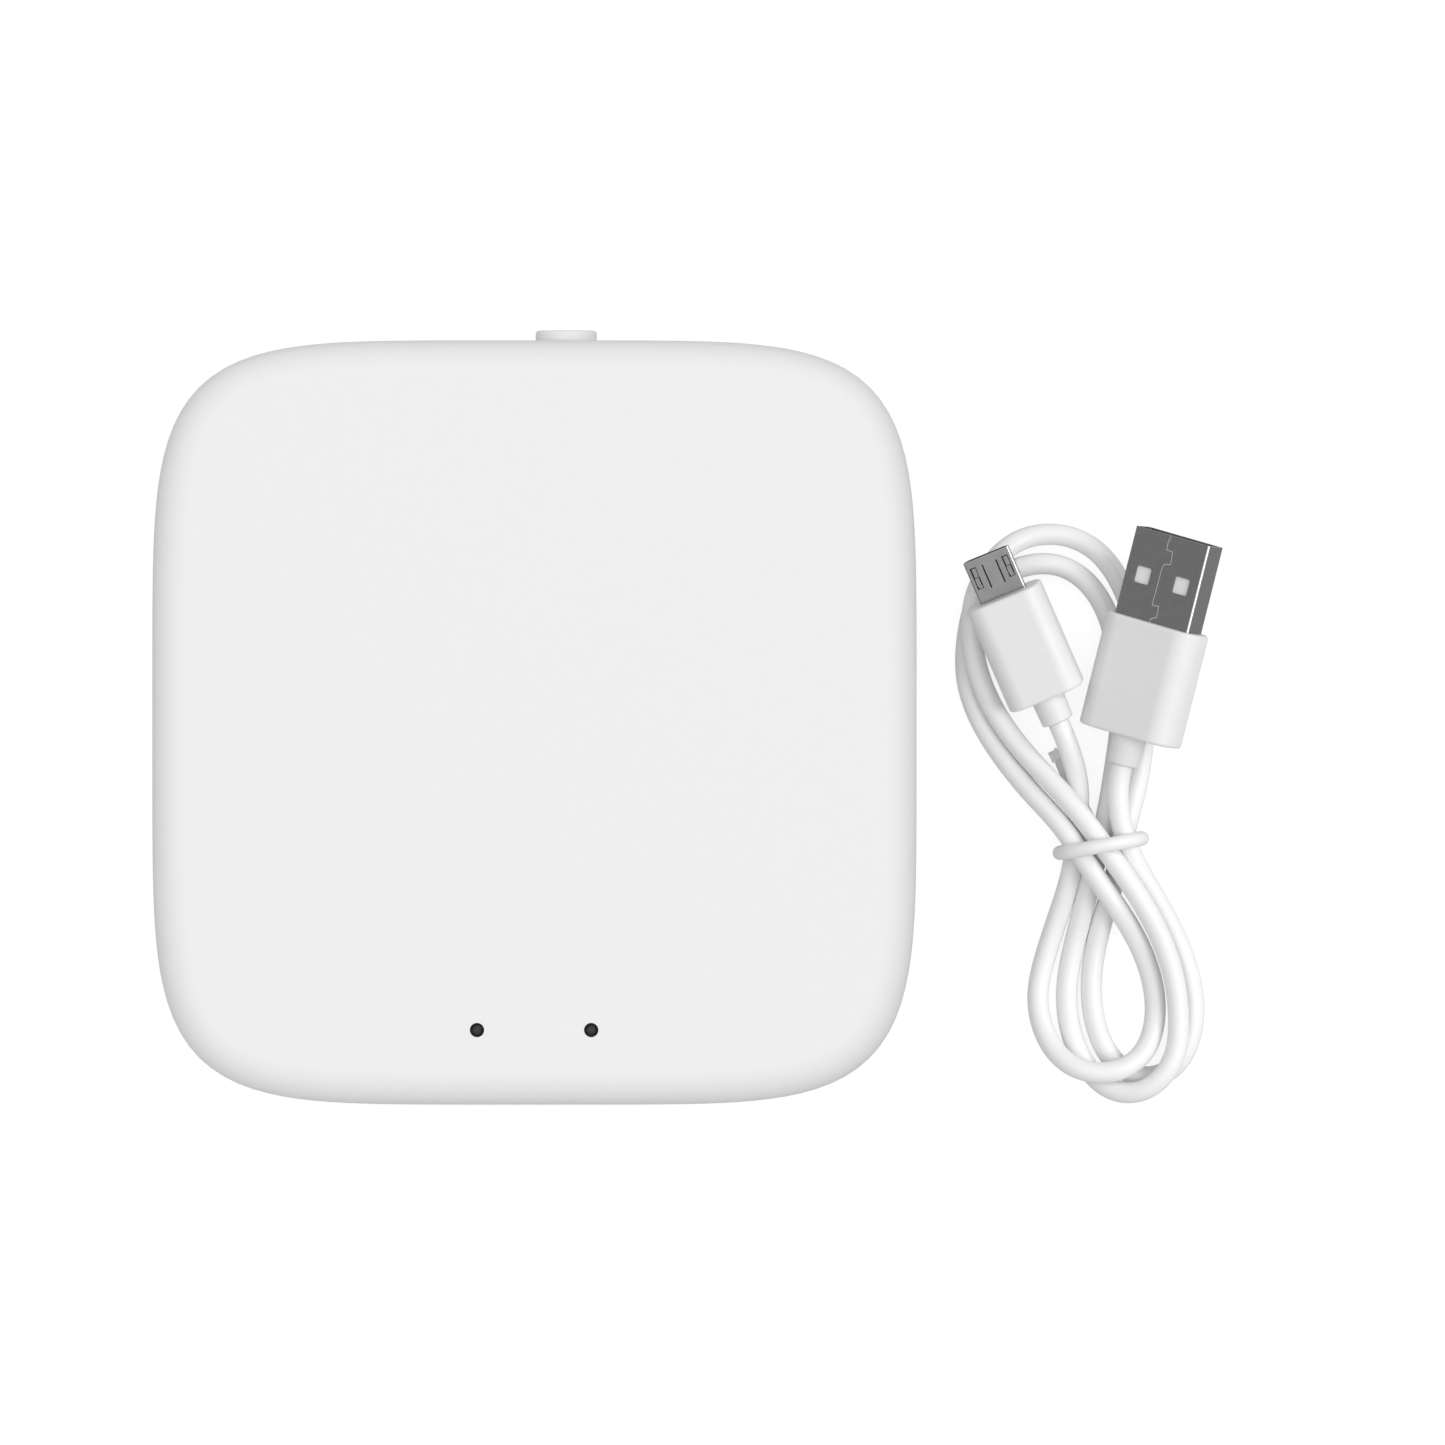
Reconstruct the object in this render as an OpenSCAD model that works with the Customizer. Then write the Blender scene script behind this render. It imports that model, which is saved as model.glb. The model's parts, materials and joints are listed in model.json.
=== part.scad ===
// Smart home hub with its detached supply lead. Millimetres, +Z up.
// The origin is at the middle of the hub, on the surface that its feet stand on.
// The back wall, with the button and the power socket, faces +Y. The indicators are at the front, near -Y.
// The lead lies folded and tied on the same surface, beside the hub on its +X side.

/* [Casing] */
// Width and depth of the casing
hub_w = 107.3; // [92:0.1:130]
// Height of the casing above the surface, feet included
hub_h = 25; // [23:0.5:34]
// Squareness of the outline, where 2 is a circle and more is squarer
outline_power = 5.3; // [4.4:0.1:7]
// Thickness of the side wall
wall_t = 2; // [1.6:0.1:2.6]
// Thickness of the top
top_t = 2.2; // [1.8:0.1:3]
// Thickness of the floor
floor_t = 2; // [1.8:0.1:3]
// How far down the side the rounding of the top edge starts
edge_drop = 5; // [3:0.5:7]
// How far in from the side the rounding of the top edge ends
edge_reach = 5.5; // [3:0.5:7]
// Radius of the bottom edge
base_round = 2.6; // [1:0.1:3.4]
// Height of the base shell's outer wall
base_h = 4; // [3.6:0.1:5]
// Height of the lip that locates the cover on the base
lip_h = 2; // [1:0.1:2.2]
// Thickness of that lip
lip_t = 1.2; // [0.8:0.1:1.6]
// Gap between the lip and the cover
casing_gap = 0.15; // [0.05:0.05:0.3]

/* [Feet] */
// Diameter of a foot
foot_d = 11; // [8:0.5:13]
// How far a foot stands out below the base
foot_h = 1; // [0.6:0.1:2]
// Depth of the recess that holds a foot
foot_sunk = 0.6; // [0.3:0.1:0.9]
// Distance from the casing's side to a foot's middle
foot_inset = 14.65; // [13:0.1:17]

/* [Screws] */
// Thread diameter of a casing screw
case_screw_d = 2.9; // [2:0.1:3.5]
// Length of a casing screw under its head
case_screw_l = 12; // [8:0.5:14]
// Head diameter of a casing screw
case_head_d = 5.6; // [4.5:0.1:6.5]
// Head height of a casing screw
case_head_h = 1.8; // [1.2:0.1:2]
// Half the distance between the front and back casing screws
case_screw_y = 28; // [22:1:32]
// Thread diameter of a board screw
board_screw_d = 2.2; // [1.8:0.1:2.6]
// Length of a board screw under its head
board_screw_l = 6; // [4:0.5:6.5]
// Head diameter of a board screw
board_head_d = 4.4; // [3.6:0.1:5]
// Head height of a board screw
board_head_h = 1.5; // [1:0.1:2]
// Plastic around a screw's hole in a boss
boss_wall = 2; // [1.4:0.1:2.4]

/* [Board] */
// Width of the main board
board_w = 58; // [52:1:60]
// Thickness of the main board
board_t = 1.6; // [1:0.1:2]
// Height of the standoffs under the main board
standoff_h = 5.4; // [5.2:0.1:6.5]
// Gap between the main board and the wall at its back edge
board_gap = 0.85; // [0.6:0.05:1.2]

/* [Indicators] */
// Diameter of an indicator hole
light_d = 2; // [1.5:0.1:3]
// Distance between the two indicators
light_pitch = 16; // [10:1:24]
// Distance from the front of the casing to the indicators
light_inset = 10.55; // [9:0.05:14]
// How far an indicator's face lies below the top
light_sunk = 0.3; // [0.1:0.05:0.6]
// Diameter of a light pipe's stem
pipe_d = 3; // [2.5:0.1:4]
// Gap between a light pipe and its holes
pipe_gap = 0.05; // [0.03:0.01:0.1]

/* [Button] */
// Diameter of the button
button_d = 8.6; // [6:0.1:10.4]
// Distance of the button from the middle of the back wall
button_x = 4.4; // [2:0.1:12]
// How far the button stands out of the back wall
button_proud = 1.5; // [1:0.1:2.5]
// Travel of the button
button_travel = 0.5; // [0.2:0.1:0.6]
// Gap between the button and its hole
button_gap = 0.12; // [0.08:0.01:0.2]
// Width of the flange that keeps the button in
flange_w = 0.9; // [0.6:0.1:1.2]
// Thickness of that flange
flange_t = 1; // [0.6:0.1:1.2]
// Side of the switch's square housing
switch_side = 6; // [4.5:0.1:6.4]
// Depth of the switch's housing
switch_depth = 3.2; // [2.5:0.1:4]
// Diameter of the switch's plunger
plunger_d = 3.5; // [2:0.1:4]
// Length of the plunger outside the switch
plunger_l = 3; // [2:0.1:4]

/* [Power socket] */
// Distance of the socket from the middle of the back wall
socket_x = -12; // [-18:0.5:-9]
// Width of the socket
socket_w = 7.5; // [7:0.1:8]
// Height of the socket
socket_h = 2.6; // [2.4:0.1:3]
// Length of the socket
socket_l = 5.6; // [5:0.1:7]
// How far the socket's mouth lies inside the back wall's face
socket_sunk = 1.05; // [0.6:0.05:1.5]
// Gap between the socket and the hole in the back wall
port_gap = 0.35; // [0.2:0.05:0.6]

/* [Cord] */
// Diameter of the cord
cord_d = 3; // [2.8:0.05:3]
// Distance from the casing's side to the middle of the tied bundle
lead_gap = 26.35; // [22:0.05:60]
// Diameter of the cord tie
tie_d = 1.9; // [1.4:0.1:1.9]

/* [Micro plug] */
// Width of the micro plug's metal shell
micro_w = 6.85; // [6.7:0.05:7]
// Thickness of the micro plug's metal shell
micro_h = 1.8; // [1.7:0.05:1.9]
// Length of the micro plug's metal shell that shows
micro_l = 6.3; // [5.5:0.1:6.8]
// Width of the micro plug's moulded grip
micro_grip_w = 11.2; // [9:0.1:11.4]
// Thickness of the micro plug's moulded grip
micro_grip_h = 7; // [5:0.1:7.2]
// Length of the micro plug's moulded grip
micro_grip_l = 15.8; // [13:0.1:16]
// Radius of the micro grip's long edges
micro_grip_r = 2.2; // [1:0.1:2.4]
// Diameter of the micro plug's strain relief
micro_relief_d = 4.75; // [4:0.05:5]
// Length of the micro plug's strain relief
micro_relief_l = 3.8; // [2:0.1:5]

/* [USB-A plug] */
// Width of the USB-A plug's metal shell
usb_a_w = 12; // [11.9:0.05:12.1]
// Thickness of the USB-A plug's metal shell
usb_a_h = 4.5; // [4.4:0.05:4.6]
// Length of the USB-A plug's metal shell that shows
usb_a_l = 12.6; // [11.7:0.1:13]
// Width of the USB-A plug's moulded grip
usb_a_grip_w = 15; // [13.5:0.1:15.4]
// Thickness of the USB-A plug's moulded grip
usb_a_grip_h = 7.8; // [6.5:0.1:8]
// Length of the USB-A plug's moulded grip
usb_a_grip_l = 16.4; // [14:0.1:16.6]
// Radius of the USB-A grip's long edges
usb_a_grip_r = 2.5; // [1:0.1:2.7]
// Diameter of the USB-A plug's strain relief at the grip
usb_a_relief_d = 5.1; // [4:0.05:5.4]
// Length of the USB-A plug's strain relief
usb_a_relief_l = 4.2; // [2:0.1:5]

/* [Hidden] */
$fn = 48;
eps = 0.01;

// Points around the casing's outline, a multiple of 4
outline_steps = 72;
// Bands in the rounding of an edge
round_steps = 6;
// Height of each level of the casing
half = hub_w / 2;
inner_half = half - wall_t;
lip_half = inner_half - casing_gap;
underside_z = foot_h;
floor_z = underside_z + floor_t;
split_z = underside_z + base_h;
ceiling_z = hub_h - top_t;
// Below this level the cavity keeps its full width, and above it the cavity follows the rounded edge
shoulder_z = hub_h - max(edge_drop, top_t);
shoulder_in = edge_reach / 2;

// Board and what stands on it
board_z = floor_z + standoff_h;
board_top = board_z + board_t;
board_back = inner_half - board_gap;
light_y = -(half - light_inset);
board_margin = 4.2;
board_front = light_y - board_margin;
board_l = board_back - board_front;
board_r = 3;
board_hole_x = board_w / 2 - 4.5;
board_hole_y = [board_front + 7.5, board_back - 10.8];
hole_play = 0.1;

// Casing screws stand beside the board
boss_d = case_screw_d + hole_play + 2 * boss_wall;
boss_play = 1.5;
case_screw_x = board_w / 2 + boss_play + boss_d / 2;
pillar_top = split_z + 1.6;
seat_t = 3;
seat_z = pillar_top - seat_t;
counterbore_play = 0.6;
screw_spare = 1;
recess_w = 0.9;

// Feet
foot_at = half - foot_inset;
foot_play = 0.2;
foot_round = 0.4;

// Button, switch and plunger, from the outside in
button_z = board_top + 3.5;
flange_d = button_d + 2 * flange_w;
flange_play = 0.05;
flange_front = inner_half - flange_play;
flange_back = flange_front - flange_t;
frame_t = 0.3;
switch_front = flange_back - plunger_l;
plunger_in = 1;
plunger_play = 0.1;
plunger_room = button_travel + 0.2;
notch_depth = 1.4;
notch_play = 1.3;

// Socket
socket_z = board_top + socket_h / 2;
socket_front = half - socket_sunk;
socket_wall = 0.3;
socket_slope = 1;
tongue_w = 3.8;
tongue_t = 0.7;
tongue_l = 4;

// Light pipes
led_h = 1.1;
led_air = 0.4;
tube_wall = 1;
tube_l = 6;

// Label on the underside
label_w = 46;
label_l = 26;
label_t = 0.2;
label_sunk = 0.35;
label_play = 0.3;
label_r = 2;

// Lead: the frame of its route has its origin on the surface, at the middle of the tied bundle
lead_at = [half + lead_gap, -17, 0];
// Each plug's origin is where its metal shell leaves its grip, with +Y towards the tip.
// Its turn is the heading, the pitch and the roll in degrees.
micro_at = [-14, 35, 10.2];
micro_turn = [23.5, 8, -9];
usb_a_at = [7.8, 31, 10];
usb_a_turn = [-14, 5, -27];
shell_root = 4;
root_play = 0.05;
micro_exit = micro_grip_l + micro_relief_l;
usb_a_exit = usb_a_grip_l + usb_a_relief_l;
straight_out = 4;

function heading(turn) = [-sin(turn[0]) * cos(turn[1]), cos(turn[0]) * cos(turn[1]), sin(turn[1])];
function behind(at, turn, distance) = at - distance * heading(turn);

// The cord's route, from the micro plug to the USB-A plug
cord_route = [
  behind(micro_at, micro_turn, micro_exit), behind(micro_at, micro_turn, micro_exit + straight_out),
  // Down into the tie, and the first loop at the bottom
  [-3, 8, 4.4], [-3.5, 2, 3.8], [-4, -4, 3.6],
  [-6, -10, 2.2], [-8, -16, 1.5], [-9.5, -22, 1.5], [-8, -28, 3], [-4.5, -32, 5.2],
  [1.5, -33, 5.6], [6.5, -30, 4.2], [8, -24, 1.8],
  [7, -18, 1.8], [4.5, -12.5, 4.4], [1, -7.5, 7], [-2.5, -2.5, 7.1], [-5.5, 2.5, 6.8],
  // The inner loop at the top
  [-10, 7, 4.8], [-14, 12, 2.6], [-17.5, 17.5, 1.5], [-19.5, 23.5, 1.5], [-19, 30, 1.5],
  [-17.5, 36, 1.5], [-12.5, 39, 1.5], [-6.5, 40, 1.5], [-1.5, 37, 1.5], [1.5, 31.5, 1.5],
  [2.5, 25, 1.5], [3, 18, 1.5], [2, 11.5, 1.8], [1, 5, 3.8], [-0.5, -1, 4.6],
  // The second loop at the bottom
  [-2, -7, 3.4], [-3.5, -13, 1.8], [-5, -19, 1.5], [-5, -25, 1.5], [-3, -31, 1.5],
  [1, -35.5, 2.6], [6.5, -35.5, 4.8], [10.5, -31, 5], [11, -25.5, 4.4],
  [10.5, -19.5, 4.4], [8.5, -13.5, 5.6], [5.5, -8, 7.6], [2, -3, 8], [-1.5, 2, 8],
  // The outer loop at the top
  [-5.5, 7, 7.2], [-10, 11.5, 4.8], [-14, 16.5, 3.8], [-17, 22, 4], [-18.5, 28, 5],
  [-18.5, 34, 5], [-16, 39.5, 4.2], [-11.5, 43.5, 2], [-5, 44, 1.5], [0.5, 41, 1.5],
  [4, 34.5, 1.5], [5.5, 28, 1.5], [6.5, 21, 1.5], [6, 14, 1.6], [5, 7.5, 2.8], [3, 1, 4],
  // The third loop at the bottom, and up to the USB-A plug
  [2, -5, 3.6], [0, -11, 2], [-1.5, -17.5, 1.5], [-1.5, -24, 1.5], [0.5, -30, 1.5], [4.5, -33.5, 1.5],
  [9.5, -33, 1.5], [12.5, -29, 1.5], [13.5, -23, 1.5],
  [12, -16.5, 1.5], [9.5, -11, 2.4], [6.5, -6, 4.6], [3, 0, 7],
  behind(usb_a_at, usb_a_turn, usb_a_exit + straight_out), behind(usb_a_at, usb_a_turn, usb_a_exit)
];
cord_sides = 8;

// Tie: its loop stands across the bundle
tie_at = [-0.3, -0.4];
tie_turn = 10;
tie_half = 6.2;
tie_low = 1.05;
tie_high = 10.5;
tie_bend = 2.6;
tie_tail_from = [-1.2, 0];
tie_tail_to = [-5.8, 12.2];

// Outline of the casing, as a superellipse of half-width h
function outline(h) = [
  for (i = [0:outline_steps - 1])
    let (a = 360 * i / outline_steps, c = cos(a), s = sin(a))
      h * [sign(c) * pow(abs(c), 2 / outline_power), sign(s) * pow(abs(s), 2 / outline_power)]
];

// Solid through a stack of outlines, each given as [half-width, height] from the bottom up
module lofted(levels) {
  n = outline_steps;
  last = len(levels) - 1;
  points = [for (v = levels) for (p = outline(v[0])) [p[0], p[1], v[1]]];
  sides = [for (k = [0:last - 1]) for (i = [0:n - 1])
    let (j = (i + 1) % n) [k * n + i, (k + 1) * n + i, (k + 1) * n + j, k * n + j]];
  bottom = [for (i = [0:n - 1]) i];
  top = [for (i = [n - 1:-1:0]) last * n + i];
  polyhedron(points, concat([bottom], sides, [top]), convexity = 4);
}

// Prism on the casing's outline
module outline_prism(h, z0, z1) {
  translate([0, 0, z0]) linear_extrude(z1 - z0) polygon(outline(h));
}

// Rectangle with round corners, centred
module rounded(w, h, r) {
  square([w - 2 * r, h], center = true);
  square([w, h - 2 * r], center = true);
  for (x = [-1, 1], y = [-1, 1]) translate([x * (w / 2 - r), y * (h / 2 - r)]) circle(r);
}

// Outline of a micro socket or plug: flat on top, with sloped lower corners
module micro_profile(w, h, slope) {
  polygon([
    [-w / 2, h / 2], [-w / 2, -h / 2 + slope], [-w / 2 + slope, -h / 2],
    [w / 2 - slope, -h / 2], [w / 2, -h / 2 + slope], [w / 2, h / 2]
  ]);
}

// Extrudes an upright profile along Y, from y0 to y1
module along_y(y0, y1) {
  translate([0, y1, 0]) rotate([90, 0, 0]) linear_extrude(y1 - y0) children();
}

// Cylinder along Y, from y0 to y1
module rod_y(d, y0, y1) {
  translate([0, y1, 0]) rotate([90, 0, 0]) cylinder(d = d, h = y1 - y0);
}

module at_case_screws() {
  for (x = [-1, 1], y = [-1, 1]) translate([x * case_screw_x, y * case_screw_y, 0]) children();
}

module at_board_screws() {
  for (x = [-1, 1], y = board_hole_y) translate([x * board_hole_x, y, 0]) children();
}

// Pan-head screw standing on its head at z = 0, with its shank up
module screw(d, l, head_d, head_h) {
  difference() {
    translate([0, 0, -head_h]) cylinder(d = head_d, h = head_h);
    for (a = [0, 90]) rotate(a)
      translate([-head_d * 0.3, -recess_w / 2, -head_h - eps]) cube([head_d * 0.6, recess_w, head_h * 0.6]);
  }
  cylinder(d = d, h = l - d / 2);
  translate([0, 0, l - d / 2]) cylinder(d1 = d, d2 = d * 0.4, h = d / 2);
}

// ---- Casing ----

module top_cover() color("#f4f4f4") {
  difference() {
    lofted(concat(
      [[half, split_z]],
      [for (k = [0:round_steps]) let (a = 90 * k / round_steps)
        [half - edge_reach * (1 - cos(a)), hub_h - edge_drop * (1 - sin(a))]]
    ));
    outline_prism(inner_half, split_z - 1, shoulder_z);
    outline_prism(inner_half - shoulder_in, shoulder_z - eps, ceiling_z);
    for (side = [-1, 1]) translate([side * light_pitch / 2, light_y, ceiling_z - 1])
      cylinder(d = light_d, h = top_t + 2);
    translate([button_x, 0, button_z]) rod_y(button_d + 2 * button_gap, inner_half - 1, half + 1);
    translate([socket_x, 0, socket_z]) along_y(inner_half - 1, half + 1)
      rounded(socket_w + 2 * port_gap, socket_h + 2 * port_gap, port_gap * 2);
  }
  at_case_screws() difference() {
    translate([0, 0, pillar_top]) cylinder(d = boss_d, h = ceiling_z - pillar_top + eps);
    translate([0, 0, pillar_top - 1])
      cylinder(d = case_screw_d + hole_play, h = seat_z + case_screw_l + screw_spare - pillar_top + 1);
  }
  for (side = [-1, 1]) translate([side * light_pitch / 2, light_y, ceiling_z - tube_l]) difference() {
    cylinder(d = pipe_d + 2 * pipe_gap + 2 * tube_wall, h = tube_l + eps);
    translate([0, 0, -1]) cylinder(d = pipe_d + 2 * pipe_gap, h = tube_l + 2);
  }
}

module base_shell() color("#f2f2f2") {
  difference() {
    union() {
      difference() {
        union() {
          lofted(concat(
            [for (k = [0:round_steps]) let (a = 90 * k / round_steps)
              [half - base_round * (1 - sin(a)), underside_z + base_round * (1 - cos(a))]],
            [[half, split_z]]
          ));
          outline_prism(lip_half, split_z - eps, split_z + lip_h);
        }
        outline_prism(lip_half - lip_t, floor_z, split_z + lip_h + 1);
      }
      at_case_screws() translate([0, 0, floor_z - eps]) cylinder(d = boss_d, h = pillar_top - floor_z + eps);
      at_board_screws() translate([0, 0, floor_z - eps])
        cylinder(d = board_screw_d + 2 * boss_wall, h = standoff_h + eps);
    }
    at_case_screws() translate([0, 0, underside_z - 1]) {
      cylinder(d = case_screw_d + 2 * hole_play, h = pillar_top);
      cylinder(d = case_head_d + counterbore_play, h = seat_z - underside_z + 1);
    }
    at_board_screws() translate([0, 0, board_z - board_screw_l + board_t - 0.5])
      cylinder(d = board_screw_d + hole_play, h = board_screw_l);
    for (x = [-1, 1], y = [-1, 1]) translate([x * foot_at, y * foot_at, underside_z - 1])
      cylinder(d = foot_d + foot_play, h = foot_sunk + 1);
    translate([0, 0, underside_z - 1]) linear_extrude(label_sunk + 1)
      rounded(label_w + label_play, label_l + label_play, label_r);
  }
}

module foot() color("#b9bab8")
  rotate_extrude() polygon([
    [0, 0], [foot_d / 2 - foot_round, 0], [foot_d / 2, foot_round],
    [foot_d / 2, foot_h + foot_sunk], [0, foot_h + foot_sunk]
  ]);

module foot_front_left() translate([-foot_at, -foot_at, 0]) foot();
module foot_front_right() translate([foot_at, -foot_at, 0]) foot();
module foot_back_left() translate([-foot_at, foot_at, 0]) foot();
module foot_back_right() translate([foot_at, foot_at, 0]) foot();

module case_screws() color("#8d8f92")
  at_case_screws() translate([0, 0, seat_z]) screw(case_screw_d, case_screw_l, case_head_d, case_head_h);

module board_screws() color("#8d8f92")
  at_board_screws() translate([0, 0, board_top]) rotate([180, 0, 0])
    screw(board_screw_d, board_screw_l, board_head_d, board_head_h);

module rating_label() color("#dcdcda")
  translate([0, 0, underside_z + label_sunk - label_t])
    linear_extrude(label_t) rounded(label_w, label_l, label_r);

// ---- Board and electronics ----

module main_board() color("#1f6b3a") difference() {
  translate([0, (board_back + board_front) / 2, board_z])
    linear_extrude(board_t) rounded(board_w, board_l, board_r);
  at_board_screws() translate([0, 0, board_z - 1]) cylinder(d = board_screw_d + 4 * hole_play, h = board_t + 2);
  translate([button_x - flange_d / 2 - notch_play, board_back - notch_depth, board_z - 1])
    cube([flange_d + 2 * notch_play, notch_depth + 1, board_t + 2]);
}

module light_pipe(side) color("#4b4d50") translate([side * light_pitch / 2, light_y, 0]) {
  foot_z = board_top + led_h + led_air;
  translate([0, 0, foot_z]) cylinder(d = pipe_d, h = ceiling_z - pipe_gap - foot_z);
  translate([0, 0, foot_z]) cylinder(d = light_d - 2 * pipe_gap, h = hub_h - light_sunk - foot_z);
}

module light_pipe_left() light_pipe(-1);
module light_pipe_right() light_pipe(1);

module status_led(side) color("#f0efe6") translate([side * light_pitch / 2, light_y, board_top]) difference() {
  translate([-1.6, -1.4, 0]) cube([3.2, 2.8, led_h]);
  translate([0, 0, led_h - 0.3]) cylinder(d = 2.2, h = 1);
}

module status_led_left() status_led(-1);
module status_led_right() status_led(1);

// Radio module on the main board: a small board with a shield can and a printed antenna at its outer end
radio_at = [-14, -16];
radio_size = [18, 24];
mesh_at = [16, -14];
mesh_size = [16, 20];
module_t = 0.8;
can_margin = 1.2;
can_h = 2.2;
can_t = 0.2;
antenna_l = 6;
track_w = 0.8;
track_t = 0.1;

module module_board(at, size) color("#17478a") translate([at[0], at[1], board_top])
  linear_extrude(module_t) rounded(size[0], size[1], 0.6);

module shield_can(at, size) color("#c9cbcc") {
  corner = at - size / 2;
  translate([corner[0] + can_margin, corner[1] + antenna_l, board_top + module_t]) difference() {
    cube([size[0] - 2 * can_margin, size[1] - antenna_l - can_margin, can_h]);
    translate([can_t, can_t, -eps])
      cube([size[0] - 2 * can_margin - 2 * can_t, size[1] - antenna_l - can_margin - 2 * can_t, can_h - can_t]);
  }
}

// Meandering track: bars along X, joined by alternate end pieces
module antenna(at, size) color("#c98a3a") {
  bars = 3;
  gap = 0.7;
  length = size[0] - 4;
  translate([at[0] - length / 2, at[1] - size[1] / 2 + 0.8, board_top + module_t]) {
    for (k = [0:bars - 1]) translate([0, k * (track_w + gap), 0]) cube([length, track_w, track_t]);
    for (k = [0:bars - 2]) translate([k % 2 == 0 ? 0 : length - track_w, k * (track_w + gap), 0])
      cube([track_w, 2 * track_w + gap, track_t]);
  }
}

module radio_module_board() module_board(radio_at, radio_size);
module radio_shield_can() shield_can(radio_at, radio_size);
module radio_antenna() antenna(radio_at, radio_size);
module mesh_module_board() module_board(mesh_at, mesh_size);
module mesh_shield_can() shield_can(mesh_at, mesh_size);
module mesh_antenna() antenna(mesh_at, mesh_size);

module voltage_regulator() color("#26282a") translate([-14, board_back - 20, board_top]) {
  translate([-3.3, -1.8, 0.1]) cube([6.6, 3.6, 1.6]);
  translate([-1.5, 1.8 - eps, 0]) cube([3, 1.7, 0.4]);
  for (k = [-1:1]) translate([k * 2.3 - 0.4, -3.4, 0]) cube([0.8, 1.6 + eps, 0.4]);
}

module power_inductor() color("#3a3a3c") translate([-4, board_back - 20, board_top]) difference() {
  linear_extrude(3) rounded(5.2, 5.2, 0.9);
  translate([0, 0, 2.7]) cylinder(d = 3.6, h = 1);
}

module filter_capacitor() color("#a9adb0") translate([-20, board_back - 31, board_top]) {
  linear_extrude(0.8) rounded(6.6, 6.6, 0.8);
  translate([0, 0, 0.8 - eps]) cylinder(d = 6.3, h = 6.2);
}

// Chip resistors and capacitors in two rows
module surface_parts() color("#b58a5a")
  for (row = [0, 1], k = [0:5]) translate([8 + 2.6 * k, board_back - 22 - 5 * row, board_top])
    translate([-0.8, -0.4, 0]) cube([1.6, 0.8, 0.6]);

// ---- Power socket ----

module socket_shell() color("#c4c6c8") translate([socket_x, 0, socket_z]) difference() {
  along_y(socket_front - socket_l, socket_front) micro_profile(socket_w, socket_h, socket_slope);
  along_y(socket_front - socket_l + socket_wall, socket_front + 1)
    micro_profile(socket_w - 2 * socket_wall, socket_h - 2 * socket_wall, socket_slope - socket_wall / 2);
}

module socket_tongue() color("#222324")
  translate([socket_x - tongue_w / 2, socket_front - socket_l + socket_wall, socket_z - 0.1])
    cube([tongue_w, tongue_l, tongue_t]);

module socket_contacts() color("#d0a544") for (k = [-2:2])
  translate([socket_x + k * 0.65 - 0.15, socket_front - socket_l + socket_wall, socket_z - 0.2])
    cube([0.3, tongue_l - 0.5, 0.1]);

// ---- Button and switch ----

module switch_housing() color("#1d1e20") translate([button_x, 0, button_z]) difference() {
  along_y(switch_front - frame_t - switch_depth, switch_front - frame_t) square(switch_side, center = true);
  rod_y(plunger_d + 2 * plunger_play, switch_front - plunger_in - plunger_room, switch_front + 1);
}

module switch_frame() color("#c4c6c8") translate([button_x, 0, button_z]) {
  difference() {
    along_y(switch_front - frame_t, switch_front) square(switch_side, center = true);
    rod_y(plunger_d + 4 * plunger_play, switch_front - 1, switch_front + 1);
  }
  for (side = [-1, 1]) translate([side * (switch_side / 2 + frame_t / 2) - frame_t / 2, 0, 0])
    along_y(switch_front - 3, switch_front)
      polygon([[0, board_top - button_z], [frame_t, board_top - button_z],
        [frame_t, switch_side / 2], [0, switch_side / 2]]);
}

module switch_plunger() color("#2c2d30") translate([button_x, 0, button_z])
  rod_y(plunger_d, switch_front - plunger_in, flange_back);

module button_cap() color("#f4f4f4") translate([button_x, 0, button_z]) {
  rod_y(button_d, flange_front - eps, half + button_proud);
  rod_y(flange_d, flange_back, flange_front);
}

// ---- Lead ----

function unit(v) = v / norm(v);

// The cord lies on the smooth cubic curve that its route steers, with one ring at each point
function steered(p) = concat([2 * p[0] - p[1]], p, [2 * p[len(p) - 1] - p[len(p) - 2]]);
function smooth_points(p) = let (q = steered(p))
  [for (i = [1:len(q) - 2]) (q[i - 1] + 4 * q[i] + q[i + 1]) / 6];

// Tube along points, with its two ends square to the given directions
module tube(points, d, sides, first, last) {
  n = len(points);
  rings = [for (i = [0:n - 1])
    let (
      along = unit(i == 0 ? first : i == n - 1 ? last : points[i + 1] - points[i - 1]),
      across = unit(cross(along, [0, 0, 1])),
      up = cross(across, along)
    )
      [for (k = [0:sides - 1]) let (a = 360 * k / sides) points[i] + d / 2 * (cos(a) * across + sin(a) * up)]];
  vertices = [for (ring = rings) for (p = ring) p];
  walls = [for (i = [0:n - 2]) for (k = [0:sides - 1])
    let (m = (k + 1) % sides) [i * sides + k, i * sides + m, (i + 1) * sides + m, (i + 1) * sides + k]];
  start = [for (k = [sides - 1:-1:0]) k];
  end = [for (k = [0:sides - 1]) (n - 1) * sides + k];
  polyhedron(vertices, concat([start], walls, [end]), convexity = 10);
}

module lead_cord() color("#f6f6f6") translate(lead_at)
  tube(smooth_points(cord_route), cord_d, cord_sides, -heading(micro_turn), heading(usb_a_turn));

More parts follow.
